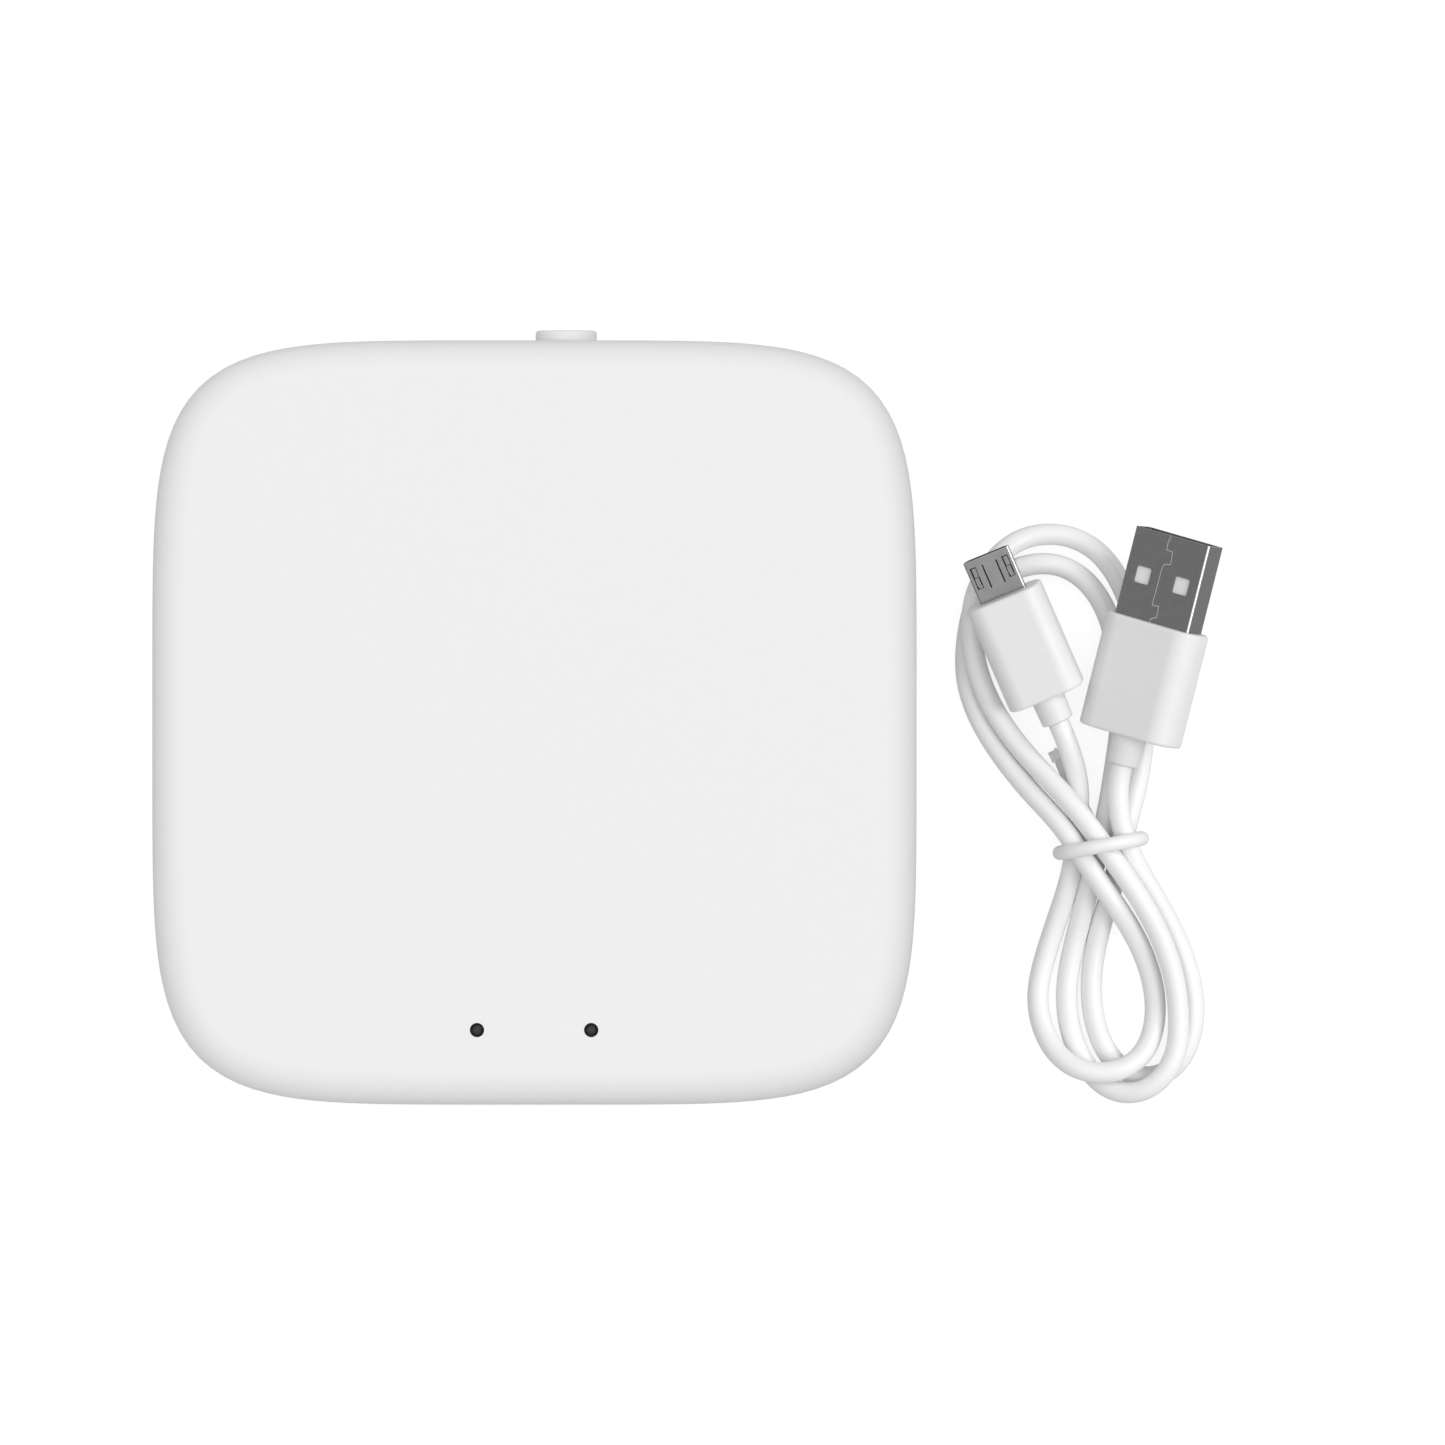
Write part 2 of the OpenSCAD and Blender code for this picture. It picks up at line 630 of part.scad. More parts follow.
module cord_tie() color("#f0f0f0") translate(lead_at) {
  translate([tie_at[0], tie_at[1], 0]) rotate(tie_turn) {
    run = tie_half - tie_bend;
    for (z = [tie_low, tie_high]) translate([-run, 0, z]) rotate([0, 90, 0]) cylinder(d = tie_d, h = 2 * run);
    for (x = [-1, 1]) translate([x * tie_half, 0, tie_low + tie_bend])
      cylinder(d = tie_d, h = tie_high - tie_low - 2 * tie_bend);
    top = tie_high - tie_bend;
    bottom = tie_low + tie_bend;
    corners = [[run, top], [-run, top], [-run, bottom], [run, bottom]];
    for (k = [0:3]) translate([corners[k][0], 0, corners[k][1]]) rotate([0, -90 * k, 0]) rotate([90, 0, 0])
      rotate_extrude(angle = 90) translate([tie_bend, 0]) circle(d = tie_d);
  }
  tail = tie_tail_to - tie_tail_from;
  translate([tie_tail_from[0], tie_tail_from[1], tie_low]) rotate(atan2(tail[1], tail[0])) rotate([0, 90, 0])
    cylinder(d = tie_d, h = norm(tail));
}

// Places a plug in the lead's frame
module in_plug(at, turn) {
  translate(lead_at + at) rotate([0, 0, turn[0]]) rotate([turn[1], 0, 0]) rotate([0, turn[2], 0]) children();
}

micro_slope = 0.7;
micro_shell_t = 0.25;
micro_slot_x = 2.42;
micro_slot = [0.9, 3.2];
micro_slot_y = 2.1;

module micro_plug_shell() color("#b4b6b8") in_plug(micro_at, micro_turn) difference() {
  along_y(-shell_root, micro_l) micro_profile(micro_w, micro_h, micro_slope);
  along_y(-shell_root - 1, micro_l + 1)
    micro_profile(micro_w - 2 * micro_shell_t, micro_h - 2 * micro_shell_t, micro_slope - micro_shell_t / 2);
  for (side = [-1, 1]) translate([side * micro_slot_x - micro_slot[0] / 2, micro_slot_y, 0])
    cube([micro_slot[0], micro_slot[1], micro_h]);
}

module micro_plug_insert() color("#2a2b2d") in_plug(micro_at, micro_turn)
  translate([-1.9, -shell_root, -0.6]) cube([3.8, shell_root + micro_l - 0.6, 0.5]);

module micro_plug_contacts() color("#d0a544") in_plug(micro_at, micro_turn)
  for (k = [-2:2]) translate([k * 0.65 - 0.15, 1, -0.1]) cube([0.3, micro_l - 2, 0.1]);

// Two sprung hooks that lock the plug in the socket, each showing in its slot
module micro_plug_latches() color("#b4b6b8") in_plug(micro_at, micro_turn)
  for (side = [-1, 1]) translate([side * micro_slot_x - 0.3, -shell_root, 0.2]) {
    cube([0.6, shell_root + micro_slot_y + micro_slot[1] - 0.2, 0.3]);
    translate([0, shell_root + micro_slot_y + 0.4, 0.3 - eps]) cube([0.6, 1.2, 0.6]);
  }

// Moulded grip with a pocket for the root of the plug's metal shell
module grip(w, h, l, r, pocket_w, pocket_h) {
  difference() {
    along_y(-l, 0) rounded(w, h, r);
    along_y(-shell_root - root_play, 1)
    square([pocket_w + 2 * root_play, pocket_h + 2 * root_play], center = true);
  }
}

module micro_plug_grip() color("#f6f6f6") in_plug(micro_at, micro_turn)
  grip(micro_grip_w, micro_grip_h, micro_grip_l, micro_grip_r, micro_w, micro_h);

module micro_plug_relief() color("#f6f6f6") in_plug(micro_at, micro_turn)
  rod_y(micro_relief_d, -micro_exit, -micro_grip_l);

usb_a_shell_t = 0.3;
usb_a_window = 2.4;
usb_a_window_x = 3.1;
usb_a_window_y = 6.1;
usb_a_insert_h = 1.9;

module usb_a_shell() color("#8f9194") in_plug(usb_a_at, usb_a_turn) difference() {
  along_y(-shell_root, usb_a_l) square([usb_a_w, usb_a_h], center = true);
  along_y(-shell_root - 1, usb_a_l + 1)
    square([usb_a_w - 2 * usb_a_shell_t, usb_a_h - 2 * usb_a_shell_t], center = true);
  for (side = [-1, 1]) translate([side * usb_a_window_x, usb_a_window_y, 0])
    cube([usb_a_window, usb_a_window, 2 * usb_a_h], center = true);
}

module usb_a_insert() color("#eceae2") in_plug(usb_a_at, usb_a_turn)
  translate([-usb_a_w / 2 + usb_a_shell_t, -shell_root, usb_a_h / 2 - usb_a_shell_t - usb_a_insert_h])
    cube([usb_a_w - 2 * usb_a_shell_t, shell_root + usb_a_l - 0.5, usb_a_insert_h]);

module usb_a_contacts() color("#d0a544") in_plug(usb_a_at, usb_a_turn)
  for (x = [-3.5, -1, 1, 3.5]) translate([x - 0.5, 3, usb_a_h / 2 - usb_a_shell_t - usb_a_insert_h - 0.1])
    cube([1, usb_a_l - 4.2, 0.1]);

module usb_a_grip() color("#f6f6f6") in_plug(usb_a_at, usb_a_turn)
  grip(usb_a_grip_w, usb_a_grip_h, usb_a_grip_l, usb_a_grip_r, usb_a_w, usb_a_h);

module usb_a_relief() color("#f6f6f6") in_plug(usb_a_at, usb_a_turn)
  rod_y(usb_a_relief_d, -usb_a_exit, -usb_a_grip_l);

top_cover();
base_shell();
foot_front_left();
foot_front_right();
foot_back_left();
foot_back_right();
case_screws();
board_screws();
rating_label();
main_board();
light_pipe_left();
light_pipe_right();
status_led_left();
status_led_right();
radio_module_board();
radio_shield_can();
radio_antenna();
mesh_module_board();
mesh_shield_can();
mesh_antenna();
voltage_regulator();
power_inductor();
filter_capacitor();
surface_parts();
socket_shell();
socket_tongue();
socket_contacts();
switch_housing();
switch_frame();
switch_plunger();
button_cap();
lead_cord();
cord_tie();
micro_plug_shell();
micro_plug_insert();
micro_plug_contacts();
micro_plug_latches();
micro_plug_grip();
micro_plug_relief();
usb_a_shell();
usb_a_insert();
usb_a_contacts();
usb_a_grip();
usb_a_relief();
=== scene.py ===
"""Looks for the smart home hub and its tied supply lead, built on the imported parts."""

import json
from math import cos, hypot, radians, sin

import bpy
from mathutils import Matrix, Vector

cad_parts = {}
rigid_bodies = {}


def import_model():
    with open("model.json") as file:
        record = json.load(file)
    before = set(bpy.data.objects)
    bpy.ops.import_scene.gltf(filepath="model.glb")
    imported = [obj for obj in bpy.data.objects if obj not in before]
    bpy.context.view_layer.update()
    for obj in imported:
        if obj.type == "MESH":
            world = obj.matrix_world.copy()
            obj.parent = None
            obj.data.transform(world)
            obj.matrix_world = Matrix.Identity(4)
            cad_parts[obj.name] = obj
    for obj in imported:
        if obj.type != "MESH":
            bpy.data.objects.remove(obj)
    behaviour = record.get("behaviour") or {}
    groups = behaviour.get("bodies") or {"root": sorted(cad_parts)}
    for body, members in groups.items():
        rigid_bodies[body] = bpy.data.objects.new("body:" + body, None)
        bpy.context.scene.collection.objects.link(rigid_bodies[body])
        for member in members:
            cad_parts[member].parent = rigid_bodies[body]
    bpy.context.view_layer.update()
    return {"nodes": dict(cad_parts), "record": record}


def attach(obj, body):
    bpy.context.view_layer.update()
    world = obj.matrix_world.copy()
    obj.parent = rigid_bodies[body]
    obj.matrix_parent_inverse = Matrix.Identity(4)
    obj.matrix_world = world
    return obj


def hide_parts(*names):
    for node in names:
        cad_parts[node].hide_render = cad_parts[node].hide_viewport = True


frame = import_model()
nodes = frame["nodes"]
MM = 0.001

# Sizes that the pieces share with the parts, in millimetres
HALF = 53.65
INNER = 51.65
TOP = 25.0
CEILING = 22.8
SPLIT = 5.0
UNDERSIDE = 1.0
BUTTON = (4.4, 13.5)
BUTTON_HOLE_R = 4.42
SOCKET = (-12.0, 11.3)
SOCKET_OPENING = (8.2, 3.3)
LIGHT_X = 8.0
LIGHT_Y = -43.1
LIGHT_HOLE_R = 1.0
LIGHT_TUBE_BORE_R = 1.55
FOOT_AT = 39.0
FOOT_SEAT_R = 5.6
FOOT_TOP = 1.6
CASE_SCREWS = (34.05, 28.0)
POST_R = 3.5
POST_FOOT = 6.6
COUNTERBORE_R = 3.1
COUNTERBORE_TOP = 3.6
BOARD_SCREWS = (24.5, 40.0)
LEAD_AT = Vector((80.0, -17.0, 0.0))
CORD_R = 1.5
TIE_R = 1.02
# Width, height and length of each plug's metal shell and grip
MICRO_SHELL = (6.85, 1.8, 6.3)
MICRO_GRIP = (11.2, 7, 15.8)
USB_A_SHELL = (12, 4.5, 12.6)
USB_A_GRIP = (15, 7.8, 16.4)
SHELL_ROOT = 4


# ---- Working on one object at a time ----


def alone(obj):
    """Leaves only this object selected, in object mode."""
    if bpy.context.object and bpy.context.object.mode != "OBJECT":
        bpy.ops.object.mode_set(mode="OBJECT")
    bpy.ops.object.select_all(action="DESELECT")
    obj.select_set(True)
    bpy.context.view_layer.objects.active = obj


def nothing_selected():
    if bpy.context.object and bpy.context.object.mode != "OBJECT":
        bpy.ops.object.mode_set(mode="OBJECT")
    bpy.ops.object.select_all(action="DESELECT")


def set_down(obj):
    """Puts the object's place, turn and size into its mesh."""
    alone(obj)
    bpy.ops.object.transform_apply(location=True, rotation=True, scale=True)


def block(name, low, high):
    """Box between two corners, in millimetres."""
    nothing_selected()
    low, high = Vector(low), Vector(high)
    bpy.ops.mesh.primitive_cube_add(size=1, location=(low + high) / 2 * MM)
    obj = bpy.context.object
    obj.name = name
    obj.scale = (high - low) * MM
    set_down(obj)
    return obj


def bar(name, radius, start, end, sides=48, end_radius=None):
    """Round bar from start to end, in millimetres, that may taper."""
    nothing_selected()
    start, end = Vector(start), Vector(end)
    line = end - start
    last = radius if end_radius is None else end_radius
    bpy.ops.mesh.primitive_cone_add(
        vertices=sides, radius1=radius * MM, radius2=last * MM, depth=line.length * MM
    )
    obj = bpy.context.object
    obj.name = name
    obj.rotation_mode = "QUATERNION"
    obj.rotation_quaternion = line.to_track_quat("Z", "Y")
    obj.location = (start + end) / 2 * MM
    set_down(obj)
    return obj


def pick(obj, kind, test):
    """Goes to edit mode with the faces or edges selected that pass the test, which is in millimetres."""
    alone(obj)
    mesh = obj.data
    mesh.polygons.foreach_set("select", [False] * len(mesh.polygons))
    mesh.edges.foreach_set("select", [False] * len(mesh.edges))
    mesh.vertices.foreach_set("select", [False] * len(mesh.vertices))
    if kind == "FACE":
        for face in mesh.polygons:
            face.select = bool(test(face.center / MM, face.normal))
    else:
        at = [v.co / MM for v in mesh.vertices]
        for edge in mesh.edges:
            edge.select = bool(test(at[edge.vertices[0]], at[edge.vertices[1]]))
    bpy.context.tool_settings.mesh_select_mode = (False, kind == "EDGE", kind == "FACE")
    bpy.ops.object.mode_set(mode="EDIT")


def object_mode():
    bpy.ops.object.mode_set(mode="OBJECT")


def round_edges(obj, test, radius, segments=3, profile=0.5):
    """Rounds the edges that pass the test."""
    pick(obj, "EDGE", test)
    bpy.ops.mesh.bevel(
        offset=radius * MM,
        segments=segments,
        profile=profile,
        affect="EDGES",
        clamp_overlap=True,
    )
    object_mode()


def carve(obj, *tools, operation="DIFFERENCE"):
    """Cuts the tools out of the object, or welds them on."""
    for tool in tools:
        change = obj.modifiers.new("carve", "BOOLEAN")
        change.operation = operation
        change.solver = "EXACT"
        change.object = tool
        alone(obj)
        bpy.ops.object.modifier_apply(modifier=change.name)
        bpy.data.objects.remove(tool)
    return obj


def weld(obj, *tools):
    return carve(obj, *tools, operation="UNION")


def finish_surface(obj, angle=35):
    """Smooth shading that keeps the flat faces flat and the hard edges hard."""
    alone(obj)
    bpy.ops.object.shade_smooth_by_angle(angle=radians(angle))
    even = obj.modifiers.new("even", "WEIGHTED_NORMAL")
    even.keep_sharp = True
    bpy.ops.object.modifier_apply(modifier=even.name)


def join(name, parts):
    """One object out of several."""
    nothing_selected()
    for part in parts:
        part.select_set(True)
    bpy.context.view_layer.objects.active = parts[0]
    bpy.ops.object.join()
    parts[0].name = name
    return parts[0]


def copy_of(obj, name, move):
    """A copy with its own mesh, moved in millimetres."""
    other = obj.copy()
    other.data = obj.data.copy()
    other.name = name
    bpy.context.scene.collection.objects.link(other)
    other.location = Vector(move) * MM
    set_down(other)
    return other


# ---- Materials ----


class Finish:
    """A material under construction: its shader, and its pattern nodes on the piece's own coordinates."""

    def __init__(self, name, roughness, metallic=0.0, ior=1.5, **sockets):
        self.material = bpy.data.materials.new(name)
        self.material.use_nodes = True
        self.tree = self.material.node_tree
        self.shader = self.tree.nodes["Principled BSDF"]
        self.shader.inputs["Roughness"].default_value = roughness
        self.shader.inputs["Metallic"].default_value = metallic
        self.shader.inputs["IOR"].default_value = ior
        for socket, value in sockets.items():
            self.shader.inputs[socket.replace("_", " ")].default_value = value
        place = self.tree.nodes.new("ShaderNodeTexCoord")
        self.mapping = self.tree.nodes.new("ShaderNodeMapping")
        self.tree.links.new(place.outputs["Object"], self.mapping.inputs["Vector"])

    def stretch(self, scale, turn=(0, 0, 0)):
        """Stretches and turns the pattern, for grain that runs one way."""
        self.mapping.inputs["Scale"].default_value = scale
        self.mapping.inputs["Rotation"].default_value = [radians(a) for a in turn]
        return self

    def noise(self, size, detail=2.0, roughness=0.5):
        """Cloudy pattern whose lumps are about this size, in millimetres."""
        node = self.tree.nodes.new("ShaderNodeTexNoise")
        node.inputs["Scale"].default_value = 1 / (size * MM)
        node.inputs["Detail"].default_value = detail
        node.inputs["Roughness"].default_value = roughness
        self.tree.links.new(self.mapping.outputs["Vector"], node.inputs["Vector"])
        return node.outputs["Fac"]

    def cells(self, size):
        """Pattern of small cells of this size, in millimetres."""
        node = self.tree.nodes.new("ShaderNodeTexVoronoi")
        node.inputs["Scale"].default_value = 1 / (size * MM)
        self.tree.links.new(self.mapping.outputs["Vector"], node.inputs["Vector"])
        return node.outputs["Distance"]

    def blend(self, pattern, low, high):
        """A ramp between two colours, driven by a pattern."""
        node = self.tree.nodes.new("ShaderNodeValToRGB")
        node.color_ramp.elements[0].position = 0.3
        node.color_ramp.elements[0].color = (*low, 1)
        node.color_ramp.elements[1].position = 0.7
        node.color_ramp.elements[1].color = (*high, 1)
        self.tree.links.new(pattern, node.inputs["Fac"])
        return node.outputs["Color"]

    def colour(self, pattern, low, high):
        self.tree.links.new(self.blend(pattern, low, high), self.shader.inputs["Base Color"])
        return self

    def painted_edge_highlight(self, colour, bright):
        """Painted highlight: brighter metal where the piece's own painted highlight value is one."""
        polish = self.tree.nodes.new("ShaderNodeAttribute")
        polish.attribute_name = "polish"
        mix = self.tree.nodes.new("ShaderNodeMix")
        mix.data_type = "RGBA"
        mix.inputs["B"].default_value = (*bright, 1)
        self.tree.links.new(polish.outputs["Fac"], mix.inputs["Factor"])
        self.tree.links.new(colour, mix.inputs["A"])
        self.tree.links.new(mix.outputs["Result"], self.shader.inputs["Base Color"])
        return self

    def sheen(self, pattern, low, high):
        """Roughness that varies with a pattern."""
        node = self.tree.nodes.new("ShaderNodeMapRange")
        node.inputs["From Min"].default_value = 0.3
        node.inputs["From Max"].default_value = 0.7
        node.inputs["To Min"].default_value = low
        node.inputs["To Max"].default_value = high
        self.tree.links.new(pattern, node.inputs["Value"])
        self.tree.links.new(node.outputs["Result"], self.shader.inputs["Roughness"])
        return self

    def grain(self, pattern, height, strength=1.0):
        """Raises the surface by the pattern, by this height in millimetres."""
        node = self.tree.nodes.new("ShaderNodeBump")
        node.inputs["Strength"].default_value = strength
        node.inputs["Distance"].default_value = height * MM
        self.tree.links.new(pattern, node.inputs["Height"])
        self.tree.links.new(node.outputs["Normal"], self.shader.inputs["Normal"])
        return self


def grey(value):
    return (value, value, value)


def make_finishes():
    made = {}

    shell = Finish("casing white", 0.55)
    shell.colour(shell.noise(3, 4), grey(0.803), grey(0.81))
    shell.sheen(shell.noise(3, 3), 0.52, 0.62)
    shell.grain(shell.noise(0.22, 3, 0.65), 0.006)
    made["casing_white"] = shell

    vinyl = Finish("cord white", 0.3)
    vinyl.colour(vinyl.noise(4, 3), grey(0.875), grey(0.89))
    vinyl.sheen(vinyl.noise(1.5, 3), 0.3, 0.38)
    vinyl.grain(vinyl.noise(0.3, 3, 0.6), 0.0015)
    made["cord_white"] = vinyl

    moulding = Finish("grip white", 0.38)
    moulding.colour(moulding.noise(4, 3), grey(0.79), grey(0.8))
    moulding.sheen(moulding.noise(1.5, 3), 0.36, 0.44)
    moulding.grain(moulding.noise(0.2, 3, 0.6), 0.002)
    made["grip_white"] = moulding

    tie = Finish("tie white", 0.35)
    tie.colour(tie.noise(3, 3), grey(0.86), grey(0.88))
    tie.sheen(tie.noise(1.2, 3), 0.3, 0.42)
    tie.grain(tie.noise(0.3, 3, 0.6), 0.003)
    made["tie_white"] = tie

    # Both are the one plug steel in two copies; each copy's brightness is painted to match how light falls
    # on its own plug, the small one on the micro shell
    for name, low, high in (("plug steel", 0.255, 0.275), ("small plug steel", 0.25, 0.29)):
        steel = Finish(name, 0.28, metallic=1.0)
        # Painted highlight: the faces marked on each shell take the brighter metal colour
        steel.painted_edge_highlight(steel.blend(steel.noise(1.2, 4), grey(low), grey(high)), grey(0.8))
        steel.sheen(steel.noise(0.6, 4), 0.24, 0.34)
        steel.grain(steel.noise(0.15, 3), 0.0008)
        made[name.replace(" ", "_")] = steel

    tin = Finish("tinned steel", 0.3, metallic=1.0)
    tin.colour(tin.noise(2, 4), (0.6, 0.61, 0.62), (0.68, 0.69, 0.7))
    tin.sheen(tin.noise(0.8, 4), 0.24, 0.42)
    tin.grain(tin.noise(0.3, 3), 0.004)
    made["tinned_steel"] = tin

    zinc = Finish("screw steel", 0.3, metallic=1.0)
    zinc.colour(zinc.noise(0.8, 4), (0.5, 0.5, 0.52), (0.6, 0.6, 0.62))
    zinc.sheen(zinc.noise(0.4, 4), 0.24, 0.4)
    zinc.grain(zinc.noise(0.15, 3), 0.004)
    made["screw_steel"] = zinc

    gold = Finish("contact gold", 0.25, metallic=1.0)
    gold.colour(gold.noise(0.6, 3), (0.78, 0.53, 0.2), (0.86, 0.62, 0.28))
    gold.sheen(gold.noise(0.3, 3), 0.2, 0.32)
    made["contact_gold"] = gold

    copper = Finish("copper track", 0.3, metallic=1.0)
    copper.colour(copper.noise(1, 3), (0.7, 0.42, 0.18), (0.8, 0.52, 0.25))
    copper.sheen(copper.noise(0.5, 3), 0.25, 0.4)
    made["copper_track"] = copper

    aluminium = Finish("can aluminium", 0.3, metallic=1.0)
    aluminium.colour(aluminium.noise(1.5, 3), (0.62, 0.63, 0.64), (0.7, 0.71, 0.72))
    aluminium.sheen(aluminium.noise(0.5, 3), 0.25, 0.4)
    made["can_aluminium"] = aluminium

    insert = Finish("insert white", 0.5)
    insert.colour(insert.noise(1.2, 3), (0.8, 0.795, 0.78), (0.84, 0.835, 0.82))
    insert.grain(insert.noise(0.2, 3), 0.005)
    made["insert_white"] = insert

    rubber = Finish("foot rubber", 0.75)
    rubber.colour(rubber.noise(0.9, 4), grey(0.3), grey(0.34))
    rubber.sheen(rubber.noise(0.5, 3), 0.68, 0.85)
    rubber.grain(rubber.noise(0.18, 3, 0.6), 0.02)
    made["foot_rubber"] = rubber

    lens = Finish("smoked lens", 0.16, ior=1.3)
    lens.colour(lens.noise(0.25, 3), (0.008, 0.008, 0.009), (0.02, 0.02, 0.022))
    lens.grain(lens.noise(0.12, 3), 0.006)
    made["lens_smoke"] = lens

    label = Finish("label film", 0.35)
    label.colour(label.noise(6, 4), grey(0.72), grey(0.75))
    label.sheen(label.noise(2, 3), 0.3, 0.42)
    label.grain(label.noise(0.6, 3), 0.003)
    made["label_film"] = label

    for slot, low, high in (
        ("board_green", (0.012, 0.11, 0.035), (0.02, 0.15, 0.05)),
        ("board_blue", (0.008, 0.03, 0.14), (0.012, 0.045, 0.2)),
    ):
        board = Finish(slot.replace("_", " "), 0.3)
        board.colour(board.cells(2.2), low, high)
        board.sheen(board.noise(1, 3), 0.22, 0.4)
        board.grain(board.cells(1.1), 0.02)
        made[slot] = board

    black = Finish("component black", 0.5)
    black.colour(black.noise(0.6, 3), grey(0.014), grey(0.024))
    black.sheen(black.noise(0.4, 3), 0.42, 0.6)
    black.grain(black.noise(0.12, 3), 0.006)
    made["component_black"] = black

    tan = Finish("component tan", 0.5)
    tan.colour(tan.noise(0.5, 3), (0.4, 0.24, 0.13), (0.5, 0.32, 0.19))
    tan.grain(tan.noise(0.12, 3), 0.006)
    made["component_tan"] = tan

    lamp = Finish("lamp body", 0.35)
    lamp.colour(lamp.noise(0.6, 3), (0.8, 0.77, 0.62), (0.85, 0.83, 0.7))
    lamp.grain(lamp.noise(0.2, 3), 0.004)
    made["led_body"] = lamp
    return made


def dress(obj, finish):
    """Gives a piece its material."""
    obj.data.materials.clear()
    obj.data.materials.append(finish.material)
    return obj


# ---- Studio, in metres ----

# The middle of the hub and the lead together
MIDDLE = 0.03
# How high and how far out the ring of soft boxes stands
RING_HEIGHT = 1.84
RING_RADIUS = 1.54
PAPER_GLOW = {"towards the object": 0.26, "towards the viewer": 0.79}


def set_up_camera():
    nothing_selected()
    bpy.ops.object.camera_add(location=(0.0264, 0, 2.512), rotation=(0, 0, 0))
    camera = bpy.context.object
    camera.data.lens = 442.2
    camera.data.sensor_width = 36
    camera.data.clip_end = 50
    bpy.context.scene.camera = camera


def soft_box(name, at, size, power, lit="everything"):
    """Square area light that faces the middle. It may be for the hub alone or for the lead alone."""
    nothing_selected()
    bpy.ops.object.light_add(type="AREA", location=at)
    light = bpy.context.object
    light.name = name
    light.data.shape = "RECTANGLE"
    light.data.size, light.data.size_y = size
    light.data.energy = power
    light.rotation_mode = "QUATERNION"
    light.rotation_quaternion = (Vector(at) - Vector((MIDDLE, 0, 0))).to_track_quat("Z", "Y")
    if lit != "everything":
        group = bpy.data.collections.get(lit) or bpy.data.collections.new(lit)
        light.light_linking.receiver_collection = group


def lay_floor():
    """White paper that glows a little, and less towards the object than towards the viewer."""
    nothing_selected()
    bpy.ops.mesh.primitive_plane_add(size=12, location=(0, 0, -0.02 * MM))
    floor = bpy.context.object
    floor.name = "floor"
    paper = bpy.data.materials.new("studio paper")
    paper.cycles.emission_sampling = "NONE"
    paper.use_nodes = True
    tree = paper.node_tree
    shader = tree.nodes["Principled BSDF"]
    shader.inputs["Base Color"].default_value = (0.3, 0.3, 0.3, 1)
    shader.inputs["Roughness"].default_value = 0.9
    shader.inputs["Specular IOR Level"].default_value = 0.1
    shader.inputs["Emission Color"].default_value = (1, 1, 1, 1)
    ray = tree.nodes.new("ShaderNodeLightPath")
    glow = tree.nodes.new("ShaderNodeMapRange")
    glow.inputs["To Min"].default_value = PAPER_GLOW["towards the object"]
    glow.inputs["To Max"].default_value = PAPER_GLOW["towards the viewer"]
    tree.links.new(ray.outputs["Is Camera Ray"], glow.inputs["Value"])
    tree.links.new(glow.outputs["Result"], shader.inputs["Emission Strength"])
    # From below, the paper lets the underside be seen
    clear = tree.nodes.new("ShaderNodeBsdfTransparent")
    sides = tree.nodes.new("ShaderNodeMixShader")
    back = tree.nodes.new("ShaderNodeNewGeometry")
    tree.links.new(back.outputs["Backfacing"], sides.inputs["Fac"])
    tree.links.new(shader.outputs["BSDF"], sides.inputs[1])
    tree.links.new(clear.outputs["BSDF"], sides.inputs[2])
    tree.links.new(sides.outputs["Shader"], tree.nodes["Material Output"].inputs["Surface"])
    floor.data.materials.append(paper)


def set_up_studio():
    lay_floor()
    world = bpy.data.worlds.new("studio")
    world.use_nodes = True
    world.node_tree.nodes["Background"].inputs["Color"].default_value = (1, 1, 1, 1)
    world.node_tree.nodes["Background"].inputs["Strength"].default_value = 0.52
    bpy.context.scene.world = world

    soft_box("overhead", (MIDDLE, 0, 3.2), (3.2, 3.2), 25)
    soft_box("overhead middle", (MIDDLE, 0, 2.9), (1.4, 1.4), 7, "hub and floor")
    soft_box("front strip", (MIDDLE, -2.3, 0.66), (1.6, 0.7), 1.5, "hub and floor")
    soft_box("back strip", (MIDDLE, 2.35, 0.5), (1.6, 0.5), 2.2, "hub and floor")
    for name, heading, power in (
        ("right", 0, 2.9),
        ("back right", 45, 7.6),
        ("back", 90, 3),
        ("left", 180, 4),
        ("front", 270, 2.6),
    ):
        turned = radians(heading)
        at = (MIDDLE + RING_RADIUS * cos(turned), RING_RADIUS * sin(turned), RING_HEIGHT)
        soft_box(name, at, (1.2, 1.2), power, "hub and floor")
    soft_box("lead key", (MIDDLE + RING_RADIUS, 0, RING_HEIGHT), (1.2, 1.2), 18.3, "the lead")
    soft_box("lead edge", (1.73, 1.19, 1.2), (0.6, 0.6), 9.2, "the lead")

    view = bpy.context.scene.view_settings
    view.view_transform = "Standard"
    view.look = "None"
    view.exposure = 0
    view.gamma = 1


def share_out_lights():
    """Says which pieces the lights for the hub alone and for the lead alone shine on."""
    riders = {*frame["record"]["behaviour"]["bodies"]["lead"], *LEAD_PIECES}
    for obj in bpy.context.scene.objects:
        if obj.type == "MESH":
            lit = "the lead" if obj.name in riders else "hub and floor"
            bpy.data.collections[lit].objects.link(obj)


# ---- The lead's cord and plugs ----

MICRO_AT, MICRO_TURN, MICRO_EXIT = Vector((-14.0, 35.0, 10.2)), (23.5, 8.0, -9.0), 19.6
USB_A_AT, USB_A_TURN, USB_A_EXIT = Vector((7.8, 31.0, 10.0)), (-14.0, 5.0, -27.0), 20.6
# How far the cord runs straight out of each plug
STRAIGHT = 4

